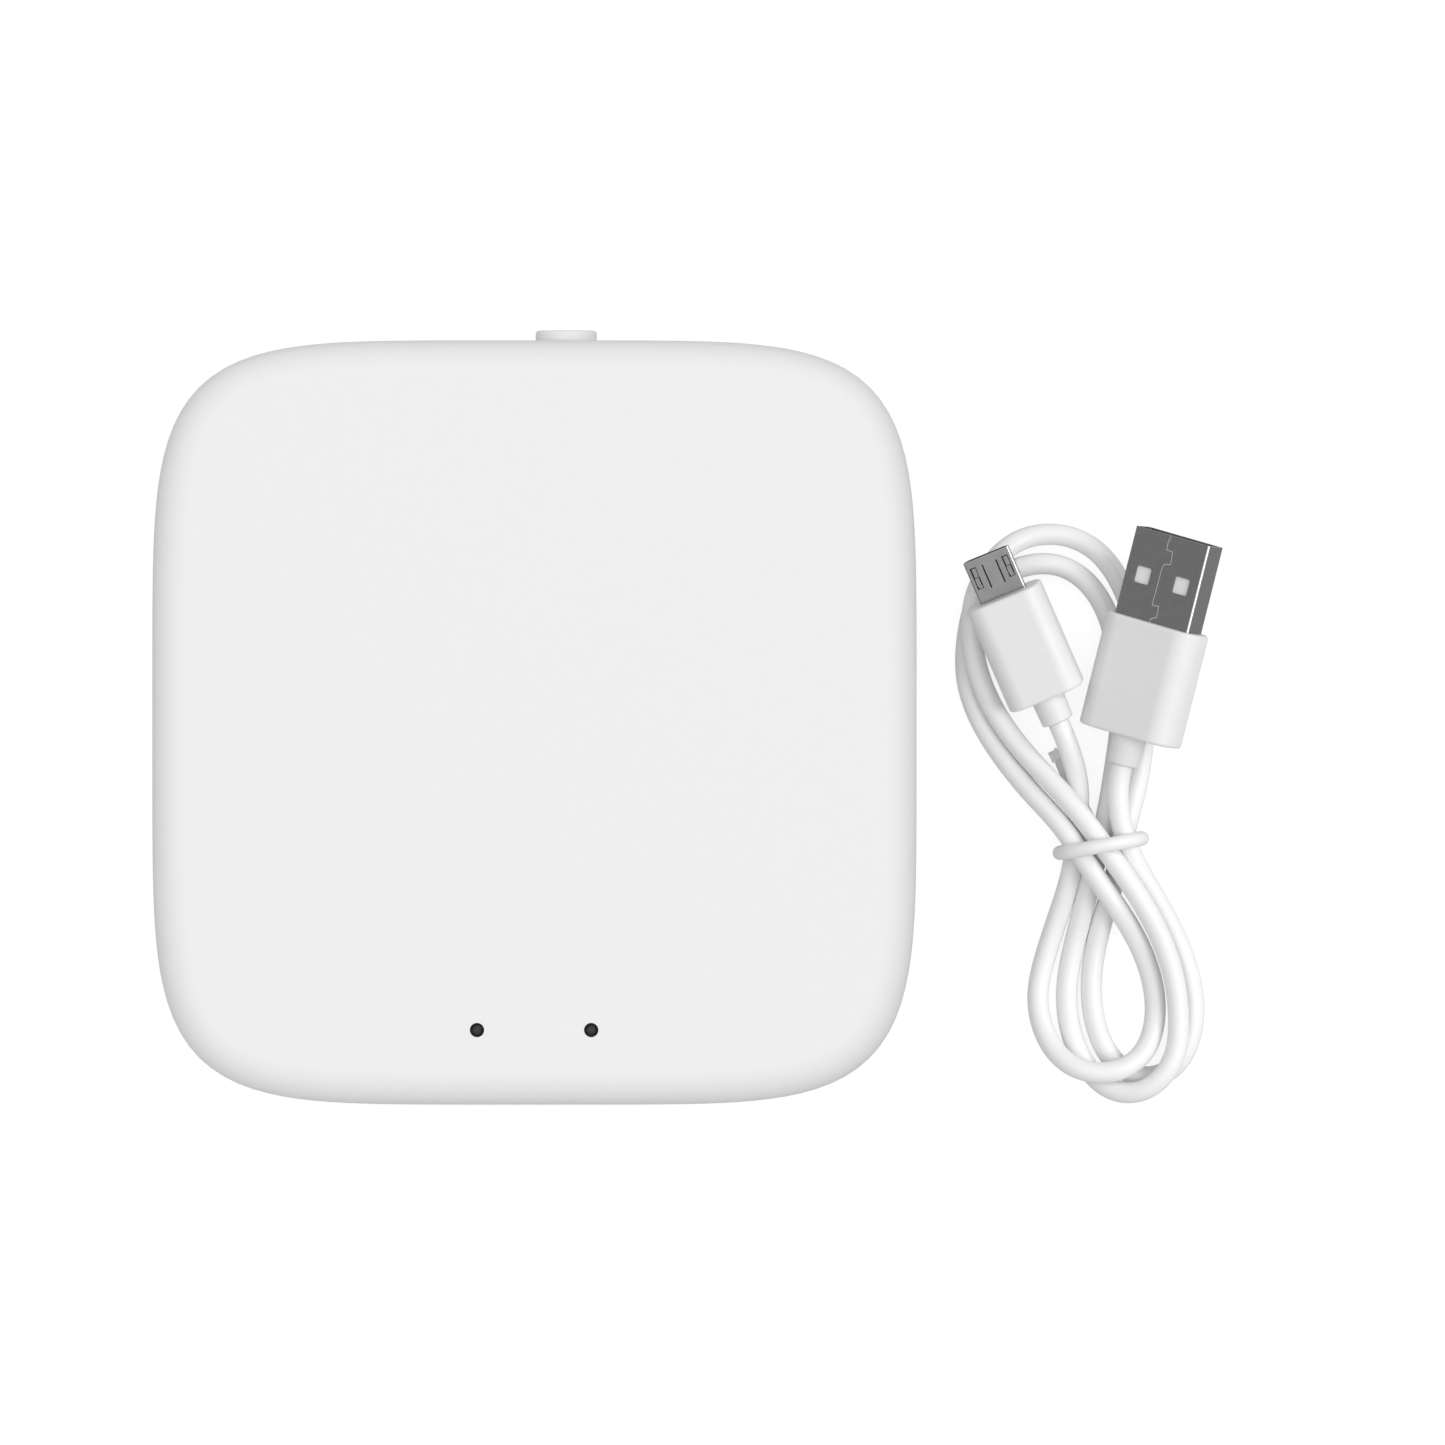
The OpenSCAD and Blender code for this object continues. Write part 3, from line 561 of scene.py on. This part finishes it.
CORD_ROUTE = [
    # Down into the tie, and the first loop at the bottom
    (-3, 8, 4.4), (-3.5, 2, 3.8), (-4, -4, 3.6),
    (-6, -10, 2.2), (-8, -16, 1.5), (-9.5, -22, 1.5), (-8, -28, 3), (-4.5, -32, 5.2),
    (1.5, -33, 5.6), (6.5, -30, 4.2), (8, -24, 1.8),
    (7, -18, 1.8), (4.5, -12.5, 4.4), (1, -7.5, 7), (-2.5, -2.5, 7.1), (-5.5, 2.5, 6.8),
    # The inner loop at the top
    (-10, 7, 4.8), (-14, 12, 2.6), (-17.5, 17.5, 1.5), (-19.5, 23.5, 1.5), (-19, 30, 1.5),
    (-17.5, 36, 1.5), (-12.5, 39, 1.5), (-6.5, 40, 1.5), (-1.5, 37, 1.5), (1.5, 31.5, 1.5),
    (2.5, 25, 1.5), (3, 18, 1.5), (2, 11.5, 1.8), (1, 5, 3.8), (-0.5, -1, 4.6),
    # The second loop at the bottom
    (-2, -7, 3.4), (-3.5, -13, 1.8), (-5, -19, 1.5), (-5, -25, 1.5), (-3, -31, 1.5),
    (1, -35.5, 2.6), (6.5, -35.5, 4.8), (10.5, -31, 5), (11, -25.5, 4.4),
    (10.5, -19.5, 4.4), (8.5, -13.5, 5.6), (5.5, -8, 7.6), (2, -3, 8), (-1.5, 2, 8),
    # The outer loop at the top
    (-5.5, 7, 7.2), (-10, 11.5, 4.8), (-14, 16.5, 3.8), (-17, 22, 4), (-18.5, 28, 5),
    (-18.5, 34, 5), (-16, 39.5, 4.2), (-11.5, 43.5, 2), (-5, 44, 1.5), (0.5, 41, 1.5),
    (4, 34.5, 1.5), (5.5, 28, 1.5), (6.5, 21, 1.5), (6, 14, 1.6), (5, 7.5, 2.8), (3, 1, 4),
    # The third loop at the bottom, and up to the USB-A plug
    (2, -5, 3.6), (0, -11, 2), (-1.5, -17.5, 1.5), (-1.5, -24, 1.5), (0.5, -30, 1.5), (4.5, -33.5, 1.5),
    (9.5, -33, 1.5), (12.5, -29, 1.5), (13.5, -23, 1.5),
    (12, -16.5, 1.5), (9.5, -11, 2.4), (6.5, -6, 4.6), (3, 0, 7),
]


def plug_pose(at, turn):
    """Where a plug lies: its +Y is towards the tip, and its origin where the metal leaves the grip."""
    heading, pitch, roll = (radians(a) for a in turn)
    turned = Matrix.Rotation(heading, 4, "Z") @ Matrix.Rotation(pitch, 4, "X")
    turned = turned @ Matrix.Rotation(roll, 4, "Y")
    return Matrix.Translation((LEAD_AT + at) * MM) @ turned


def behind_plug(at, turn, distance):
    """Point this far behind a plug's origin, on its own line, in the lead's millimetres."""
    return (plug_pose(at, turn) @ Vector((0, -distance * MM, 0))) / MM - LEAD_AT


def lay_cord():
    points = [behind_plug(MICRO_AT, MICRO_TURN, MICRO_EXIT + run) for run in (0, STRAIGHT)]
    points += [Vector(p) for p in CORD_ROUTE]
    points += [behind_plug(USB_A_AT, USB_A_TURN, USB_A_EXIT + run) for run in (STRAIGHT, 0)]
    # One more point before and after makes the smooth line start and end right on the plugs
    points = [2 * points[0] - points[1], *points, 2 * points[-1] - points[-2]]
    line = bpy.data.curves.new("cord", "CURVE")
    line.dimensions = "3D"
    spline = line.splines.new("NURBS")
    spline.points.add(len(points) - 1)
    for knot, p in zip(spline.points, points):
        knot.co = (*((LEAD_AT + p) * MM), 1)
    spline.order_u = 4
    spline.use_endpoint_u = False
    line.resolution_u = 8
    middle = bpy.data.objects.new("middle line", line)
    bpy.context.scene.collection.objects.link(middle)
    followed = middle.to_mesh()
    path = [v.co.copy() for v in followed.vertices]
    middle.to_mesh_clear()
    line.bevel_depth = CORD_R * MM
    line.bevel_resolution = 10
    line.use_fill_caps = True
    cord = as_mesh(middle, "cord")
    finish_surface(cord, 50)
    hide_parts("lead_cord")
    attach(cord, "lead")
    return cord, path


def as_mesh(curve, name):
    alone(curve)
    bpy.ops.object.convert(target="MESH")
    obj = bpy.context.object
    obj.name = name
    return obj


def shape_tie():
    """Loop of soft cord round the six strands, with one end tucked under them and cut off."""
    loop = [
        (-4.6, 1.25), (0, 1.0), (4.6, 1.25), (6.0, 3.0), (6.0, 6.0), (4.9, 8.6), (2.6, 10.0),
        (0.2, 10.6), (-2.4, 10.1), (-4.8, 8.8), (-5.9, 6.4), (-5.9, 3.2),
    ]
    middle = LEAD_AT + Vector((-0.2, -0.4, 0))
    turned = Matrix.Translation(middle * MM) @ Matrix.Rotation(radians(10), 4, "Z")
    nothing_selected()
    line = bpy.data.curves.new("tie", "CURVE")
    line.dimensions = "3D"
    ring = line.splines.new("NURBS")
    ring.points.add(len(loop) - 1)
    for knot, (u, z) in zip(ring.points, loop):
        knot.co = (*(turned @ (Vector((u, 0, z)) * MM)), 1)
    ring.order_u = 4
    ring.use_cyclic_u = True
    tail = line.splines.new("NURBS")
    ends = [
        (1.4, -0.2, 1.05), (0.2, 0.2, 1.05), (-1.6, 2.6, 1.05),
        (-3.4, 6.4, 1.05), (-4.9, 9.6, 1.4), (-5.8, 12.1, 2.4),
    ]
    tail.points.add(len(ends) - 1)
    for knot, p in zip(tail.points, ends):
        knot.co = (*((LEAD_AT + Vector(p)) * MM), 1)
    tail.order_u = 4
    tail.use_endpoint_u = True
    line.resolution_u = 10
    line.bevel_depth = TIE_R * MM
    line.bevel_resolution = 6
    line.use_fill_caps = True
    rings = bpy.data.objects.new("tie", line)
    bpy.context.scene.collection.objects.link(rings)
    tie = as_mesh(rings, "tie")
    # The cut end of the tail is ragged
    for at, turn in (((-6.6, 12.0, 2.2), 25), ((-5.0, 12.7, 2.2), -35), ((-5.9, 12.4, 3.2), 60)):
        nick = block("nick", (-0.6, -0.35, -0.7), (0.6, 0.9, 0.9))
        nick.rotation_euler = (radians(turn / 2), 0, radians(turn))
        nick.location = (LEAD_AT + Vector(at)) * MM
        set_down(nick)
        carve(tie, nick)
    finish_surface(tie, 50)
    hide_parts("cord_tie")
    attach(tie, "lead")
    return tie


def grip(name, size, edge, shell):
    """Moulded grip: a block with soft long edges, eased ends and a pocket for the metal shell."""
    width, height, length = size
    slack = 0.05
    pocket_w, pocket_h = shell[0] / 2 + slack, shell[1] / 2 + slack
    obj = block(name, (-width / 2, -length, -height / 2), (width / 2, 0, height / 2))
    round_edges(obj, lambda a, b: abs(a.y - b.y) > 1, edge, 10, 0.5)
    round_edges(obj, lambda a, b: abs(a.y - b.y) < 0.01, 0.45, 4)
    carve(obj, block("pocket", (-pocket_w, -SHELL_ROOT - slack, -pocket_h), (pocket_w, 1, pocket_h)))
    finish_surface(obj)
    return obj


def collar(name, first, last, length, start):
    """Strain relief: a round collar with an eased rim, drawn in round the cord."""
    ease, room = 0.25, 0.08
    obj = bar(name, first, (0, -start, 0), (0, -start - length, 0), 48, last)
    rim = -start - length
    round_edges(obj, lambda a, b: a.y < rim + 0.01 and b.y < rim + 0.01, ease, 3)
    pick(obj, "FACE", lambda c, n: c.y < rim + 0.02 and n.y < -0.9)
    bpy.ops.mesh.inset(thickness=(last - ease - CORD_R - room) * MM)
    bpy.ops.mesh.extrude_region_move(TRANSFORM_OT_translate={"value": (0, 0.3 * MM, 0)})
    object_mode()
    finish_surface(obj)
    return obj


def fold_sleeve(name, size, wall, edges):
    """Folded metal sleeve, open at both ends, with its lower and upper long edges eased."""
    width, height, length = size
    obj = block(name, (-width / 2, -SHELL_ROOT, -height / 2), (width / 2, length, height / 2))
    for low, (radius, steps) in zip((True, False), edges):
        round_edges(obj, lambda a, b: abs(a.y - b.y) > 1 and (a.z < 0) == low, radius, steps)
    pick(obj, "FACE", lambda c, n: abs(n.y) > 0.9)
    bpy.ops.mesh.delete(type="FACE")
    object_mode()
    sheet = obj.modifiers.new("sheet", "SOLIDIFY")
    sheet.thickness = wall * MM
    sheet.offset = -1
    sheet.use_even_offset = True
    alone(obj)
    bpy.ops.object.modifier_apply(modifier=sheet.name)
    return obj


def paint_edge_highlight(obj, test):
    """Marks the faces that get the painted highlight, brighter metal that stands in for light catching the
    edges.
    """
    polish = obj.data.attributes.new("polish", "FLOAT", "FACE")
    polish.data.foreach_set("value", [float(test(f.center / MM, f.normal)) for f in obj.data.polygons])


def shape_micro_shell():
    """Narrow at the bottom, with two latch slots and two stamped lines in its top."""
    length = MICRO_SHELL[2]
    shell = fold_sleeve("micro_shell", MICRO_SHELL, 0.25, ((0.7, 1), (0.2, 3)))
    # Place across, half width, start and end along the shell
    slots = ((-2.42, 0.45, 2.1, 5.3), (2.42, 0.45, 2.1, 5.3))
    stamps = ((-0.98, 0.1, 1.7, 5.2), (1.1, 0.1, 1.7, 5.2))
    carve(shell, *(block("slot", (x - w, y0, 0.2), (x + w, y1, 1.5)) for x, w, y0, y1 in slots + stamps))
    rim = length - 0.01
    round_edges(shell, lambda a, b: a.y > rim and b.y > rim, 0.06, 1)
    finish_surface(shell)
    # Painted highlight on the tip's rim and on the long edge on the right, which faces the light
    paint_edge_highlight(shell, lambda c, n: c.y > length - 0.07 or (c.x > 3.2 and n.z > 0.2 and n.x > 0.2))
    return shell


def shape_usb_a_shell():
    """Square-edged, with two windows through top and bottom and a folded seam."""
    height, length = USB_A_SHELL[1:]
    shell = fold_sleeve("usb_a_sleeve", USB_A_SHELL, 0.3, ((0.4, 4), (0.4, 4)))
    tools = []
    for side in (-1, 1):
        window = block("window", (side * 3.1 - 1.18, 4.9, -3), (side * 3.1 + 1.18, 7.3, 3))
        round_edges(window, lambda a, b: abs(a.z - b.z) > 1, 0.25, 3)
        tools.append(window)
    carve(shell, *tools)
    # The interlocking seam where the folded sheet meets, from the tip to the grip
    seam = [
        (-0.25, 12.55), (-0.45, 11.5), (-0.4, 10.5), (0.6, 10.4), (0.75, 8.6), (-0.2, 8.45),
        (-0.4, 7.9), (-0.5, 2.4), (0.55, 2.5), (0.65, 0.9), (-0.2, 0.5), (-0.2, 0.05),
    ]
    for (x0, y0), (x1, y1) in zip(seam, seam[1:]):
        stretch = Vector((x1 - x0, y1 - y0, 0))
        ridge = block("ridge", (-0.05, -0.05, -0.05), (0.05, stretch.length + 0.05, 0.03))
        ridge.rotation_euler = Vector((0, 1, 0)).rotation_difference(stretch).to_euler()
        ridge.location = Vector((x0, y0, height / 2)) * MM
        set_down(ridge)
        weld(shell, ridge)
    finish_surface(shell)

    # Painted highlight on the long edge on the right, the tip's rim and the top of the seam
    def takes_painted_highlight(c, n):
        long_edge = c.x > 5.6 and n.x > 0.5 and n.z > 0.5
        rim = c.y > length - 0.01 and n.y > 0.9
        return long_edge or rim or c.z > height / 2 + 0.02

    paint_edge_highlight(shell, takes_painted_highlight)
    return shell


LEAD_PIECES = [
    "cord", "tie", "micro_grip", "micro_collar", "micro_shell",
    "usb_a_grip_moulding", "usb_a_collar", "usb_a_sleeve",
]


def shape_lead(finishes):
    cord, path = lay_cord()
    dress(cord, finishes["cord_white"])
    tie = dress(shape_tie(), finishes["tie_white"])
    micro = plug_pose(MICRO_AT, MICRO_TURN)
    usb_a = plug_pose(USB_A_AT, USB_A_TURN)
    moulded = (finishes["grip_white"], "cord_white")
    # The micro shell's steel is a copy of the plug steel with its own painted brightness, for how light
    # falls on it
    small_steel = (finishes["small_plug_steel"], "plug_steel")
    steel = (finishes["plug_steel"], "plug_steel")
    for made, pose, (finish, slot), stands_for in (
        (grip("micro_grip", MICRO_GRIP, 2.7, MICRO_SHELL), micro, moulded, "micro_plug_grip"),
        (collar("micro_collar", 2.375, 2.3, 3.8, MICRO_GRIP[2]), micro, moulded, "micro_plug_relief"),
        (shape_micro_shell(), micro, small_steel, "micro_plug_shell"),
        (grip("usb_a_grip_moulding", USB_A_GRIP, 3.2, USB_A_SHELL), usb_a, moulded, "usb_a_grip"),
        (collar("usb_a_collar", 2.55, 2.2, 4.2, USB_A_GRIP[2]), usb_a, moulded, "usb_a_relief"),
        (shape_usb_a_shell(), usb_a, steel, "usb_a_shell"),
    ):
        made.matrix_world = pose
        set_down(made)
        dress(made, finish)
        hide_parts(stands_for)
        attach(made, "lead")


# ---- The hub ----


def squircle(name, half, low, high):
    """Plate with the casing's outline: a block whose upright edges are rounded right across its sides."""
    obj = block(name, (-half, -half, low), (half, half, high))
    round_edges(obj, lambda a, b: abs(a.z - b.z) > 0.01, half - 0.01, 44, 0.77)
    pick(obj, "FACE", lambda c, n: True)
    bpy.ops.mesh.remove_doubles(threshold=0.03 * MM)
    object_mode()
    return obj


def upright(name, radius, at, low, high, sides):
    """Upright bar at a place, from one height to another."""
    return bar(name, radius, (*at, low), (*at, high), sides)


def socket_cutter():
    """Cutter for the socket's opening, through the back wall."""
    (x, z), (width, height) = SOCKET, SOCKET_OPENING
    tool = block("opening", (x - width / 2, 50, z - height / 2), (x + width / 2, 56, z + height / 2))
    round_edges(tool, lambda a, b: abs(a.y - b.y) > 1, 0.7, 6)
    return tool


def shape_cover():
    """Top cover: crowned shell with light tubes, screw posts and the holes in its wall."""
    cover = squircle("cover", HALF, SPLIT, TOP)
    round_edges(cover, lambda a, b: min(a.z, b.z) > TOP - 0.01, 4.9, 16)
    round_edges(cover, lambda a, b: max(a.z, b.z) < SPLIT + 0.01, 0.16, 2)
    hollow = squircle("hollow", INNER, SPLIT - 1, CEILING)
    round_edges(hollow, lambda a, b: min(a.z, b.z) > CEILING - 0.01, 4, 6)
    carve(cover, hollow)
    # The posts and tubes run a little into the ceiling, to weld to it
    rooted = CEILING + 0.5
    for x in (-1, 1):
        weld(cover, upright("tube", 2.55, (x * LIGHT_X, LIGHT_Y), 16.8, rooted, 32))
        for y in (-1, 1):
            at = (x * CASE_SCREWS[0], y * CASE_SCREWS[1])
            weld(cover, upright("post", POST_R, at, POST_FOOT, rooted, 32))
    for x in (-1, 1):
        light_at = (x * LIGHT_X, LIGHT_Y)
        carve(cover, upright("bore", LIGHT_TUBE_BORE_R, light_at, 10, CEILING, 32))
        carve(cover, upright("hole", LIGHT_HOLE_R, light_at, 20, 27, 48))
        for y in (-1, 1):
            at = (x * CASE_SCREWS[0], y * CASE_SCREWS[1])
            carve(cover, upright("pilot", 1.5, at, 5, 16.6, 24))
    button_x, button_z = BUTTON
    carve(cover, bar("button hole", BUTTON_HOLE_R, (button_x, 49, button_z), (button_x, 56, button_z), 96))
    carve(cover, socket_cutter())

    def on_hole(p):
        return min(hypot(p.x - x * LIGHT_X, p.y - LIGHT_Y) for x in (-1, 1)) < LIGHT_HOLE_R + 0.02

    round_edges(cover, lambda a, b: min(a.z, b.z) > TOP - 0.01 and on_hole(a) and on_hole(b), 0.14, 3)

    def at_button(p):
        return p.y > HALF - 0.1 and abs(hypot(p.x - button_x, p.z - button_z) - BUTTON_HOLE_R) < 0.02

    round_edges(cover, lambda a, b: at_button(a) and at_button(b), 0.25, 3)

    def at_socket(p):
        across = abs(p.x - SOCKET[0]) < SOCKET_OPENING[0] / 2 + 0.02
        up = abs(p.z - SOCKET[1]) < SOCKET_OPENING[1] / 2 + 0.02
        return p.y > HALF - 0.1 and across and up

    round_edges(cover, lambda a, b: at_socket(a) and at_socket(b), 0.25, 3)
    finish_surface(cover)
    return cover


def shape_base():
    """Base shell: locating lip, screw pillars, board standoffs, foot seats and the label's recess."""
    base = squircle("base", HALF, UNDERSIDE, SPLIT)
    round_edges(base, lambda a, b: max(a.z, b.z) < UNDERSIDE + 0.01, 2.6, 8)
    round_edges(base, lambda a, b: min(a.z, b.z) > SPLIT - 0.01, 0.16, 2)
    weld(base, squircle("lip", 51.5, SPLIT - 0.5, 7))
    carve(base, squircle("well", 50.3, 3, 8))
    holes = []
    for x in (-1, 1):
        for y in (-1, 1):
            at = (x * CASE_SCREWS[0], y * CASE_SCREWS[1])
            foot_at = (x * FOOT_AT, y * FOOT_AT)
            weld(base, upright("pillar", POST_R, at, 2.5, POST_FOOT, 32))
            holes.append(upright("clearance", 1.55, at, 0, 8, 32))
            holes.append(upright("counterbore", COUNTERBORE_R, at, 0, COUNTERBORE_TOP, 48))
            holes.append(upright("foot seat", FOOT_SEAT_R, foot_at, 0, FOOT_TOP, 64))
        for y in (-1, 1):
            at = (x * BOARD_SCREWS[0], y * BOARD_SCREWS[1])
            weld(base, upright("standoff", 3.1, at, 2.5, 8.4, 32))
            holes.append(upright("pilot", 1.15, at, 3.5, 9, 24))
    recess = block("recess", (-23.3, -13.3, 0), (23.3, 13.3, 1.35))
    round_edges(recess, lambda a, b: abs(a.z - b.z) > 0.1, 2, 6)
    carve(base, *holes, recess)

    def on_underside(p):
        # The four seats and bores are alike, so one quarter of the base stands for all
        x, y = abs(p.x), abs(p.y)
        seat = abs(hypot(x - FOOT_AT, y - FOOT_AT) - FOOT_SEAT_R)
        bore = abs(hypot(x - CASE_SCREWS[0], y - CASE_SCREWS[1]) - COUNTERBORE_R)
        return p.z < UNDERSIDE + 0.01 and min(seat, bore) < 0.02

    round_edges(base, lambda a, b: on_underside(a) and on_underside(b), 0.2, 2)
    finish_surface(base)
    return base


def shape_foot():
    """One foot, at the middle: a pad with an eased rim and a shallow dish."""
    foot = upright("foot", 5.5, (0, 0), 0, FOOT_TOP, 64)
    round_edges(foot, lambda a, b: max(a.z, b.z) < 0.01, 0.4, 4)
    pick(foot, "FACE", lambda c, n: c.z < 0.01 and n.z < -0.9)
    bpy.ops.mesh.inset(thickness=1.0 * MM)
    bpy.ops.mesh.inset(thickness=0.25 * MM, depth=-0.12 * MM)
    object_mode()
    finish_surface(foot)
    return foot


def shape_button():
    """Button: a flange behind the wall, and a stem with an eased rim and a shallow dish."""
    x, z = BUTTON
    face = 55.15
    cap = bar("button", 5.2, (x, 50.6, z), (x, INNER - 0.05, z), 96)
    weld(cap, bar("stem", 4.3, (x, 51, z), (x, face, z), 96))
    round_edges(cap, lambda a, b: min(a.y, b.y) > face - 0.05, 0.45, 5)
    pick(cap, "FACE", lambda c, n: c.y > face - 0.01 and n.y > 0.9)
    bpy.ops.mesh.inset(thickness=0.5 * MM)
    bpy.ops.mesh.inset(thickness=1.6 * MM, depth=-0.12 * MM)
    object_mode()
    finish_surface(cap)
    return cap


def shape_light_pipe(name, side):
    """Stem under the ceiling, with a slim domed nose in its hole."""
    nose = 1.9
    pipe = upright(name, 1.5, (side * LIGHT_X, LIGHT_Y), 11.5, CEILING, 48)
    pick(pipe, "FACE", lambda c, n: n.z > 0.9)
    bpy.ops.mesh.inset(thickness=0.55 * MM)
    bpy.ops.mesh.extrude_region_move(TRANSFORM_OT_translate={"value": (0, 0, nose * MM)})
    object_mode()
    round_edges(pipe, lambda a, b: min(a.z, b.z) > CEILING + nose - 0.01, 0.5, 5)
    finish_surface(pipe, 60)
    return pipe


def shape_screws():
    """Four case screws, heads down, with rounded heads and cross recesses."""
    head_foot = 1.8
    head = upright("head", 2.8, (0, 0), head_foot, COUNTERBORE_TOP, 48)
    round_edges(head, lambda a, b: max(a.z, b.z) < head_foot + 0.01, 0.8, 6)
    weld(head, upright("shank", 1.45, (0, 0), COUNTERBORE_TOP - 0.1, 14.1, 24))
    for angle in (0, 90):
        arm = block("arm", (-1.6, -0.42, 1.2), (1.6, 0.42, 2.9))
        arm.rotation_euler = (0, 0, radians(angle))
        set_down(arm)
        carve(head, arm)
    finish_surface(head)
    parts = [
        copy_of(head, "screw", (x * CASE_SCREWS[0], y * CASE_SCREWS[1], 0)) for x in (-1, 1) for y in (-1, 1)
    ]
    bpy.data.objects.remove(head)
    return join("casing_screws", parts)


def shape_hub(finishes):
    foot = shape_foot()
    for fore in ("front", "back"):
        for hand in ("left", "right"):
            y = FOOT_AT if fore == "back" else -FOOT_AT
            x = FOOT_AT if hand == "right" else -FOOT_AT
            pad = copy_of(foot, f"pad_{fore}_{hand}", (x, y, 0))
            dress(pad, finishes["foot_rubber"])
            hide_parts(f"foot_{fore}_{hand}")
            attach(pad, "hub")
    bpy.data.objects.remove(foot)
    for made, slot, stands_for, body in (
        (shape_cover(), "casing_white", "top_cover", "hub"),
        (shape_base(), "casing_white", "base_shell", "hub"),
        (shape_screws(), "screw_steel", "case_screws", "hub"),
        (shape_light_pipe("lens_left", -1), "lens_smoke", "light_pipe_left", "hub"),
        (shape_light_pipe("lens_right", 1), "lens_smoke", "light_pipe_right", "hub"),
        (shape_button(), "casing_white", "button_cap", "button"),
    ):
        dress(made, finishes[slot])
        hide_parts(stands_for)
        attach(made, body)


def dress_kept_nodes(finishes):
    """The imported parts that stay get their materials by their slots."""
    slots = {row["node"]: row["material_slot"] for row in frame["record"]["subparts"]}
    for name, node in nodes.items():
        if not node.hide_render:
            node.data.materials.clear()
            node.data.materials.append(finishes[slots[name]].material)


set_up_camera()
set_up_studio()
finishes = make_finishes()
shape_lead(finishes)
shape_hub(finishes)
dress_kept_nodes(finishes)
share_out_lights()
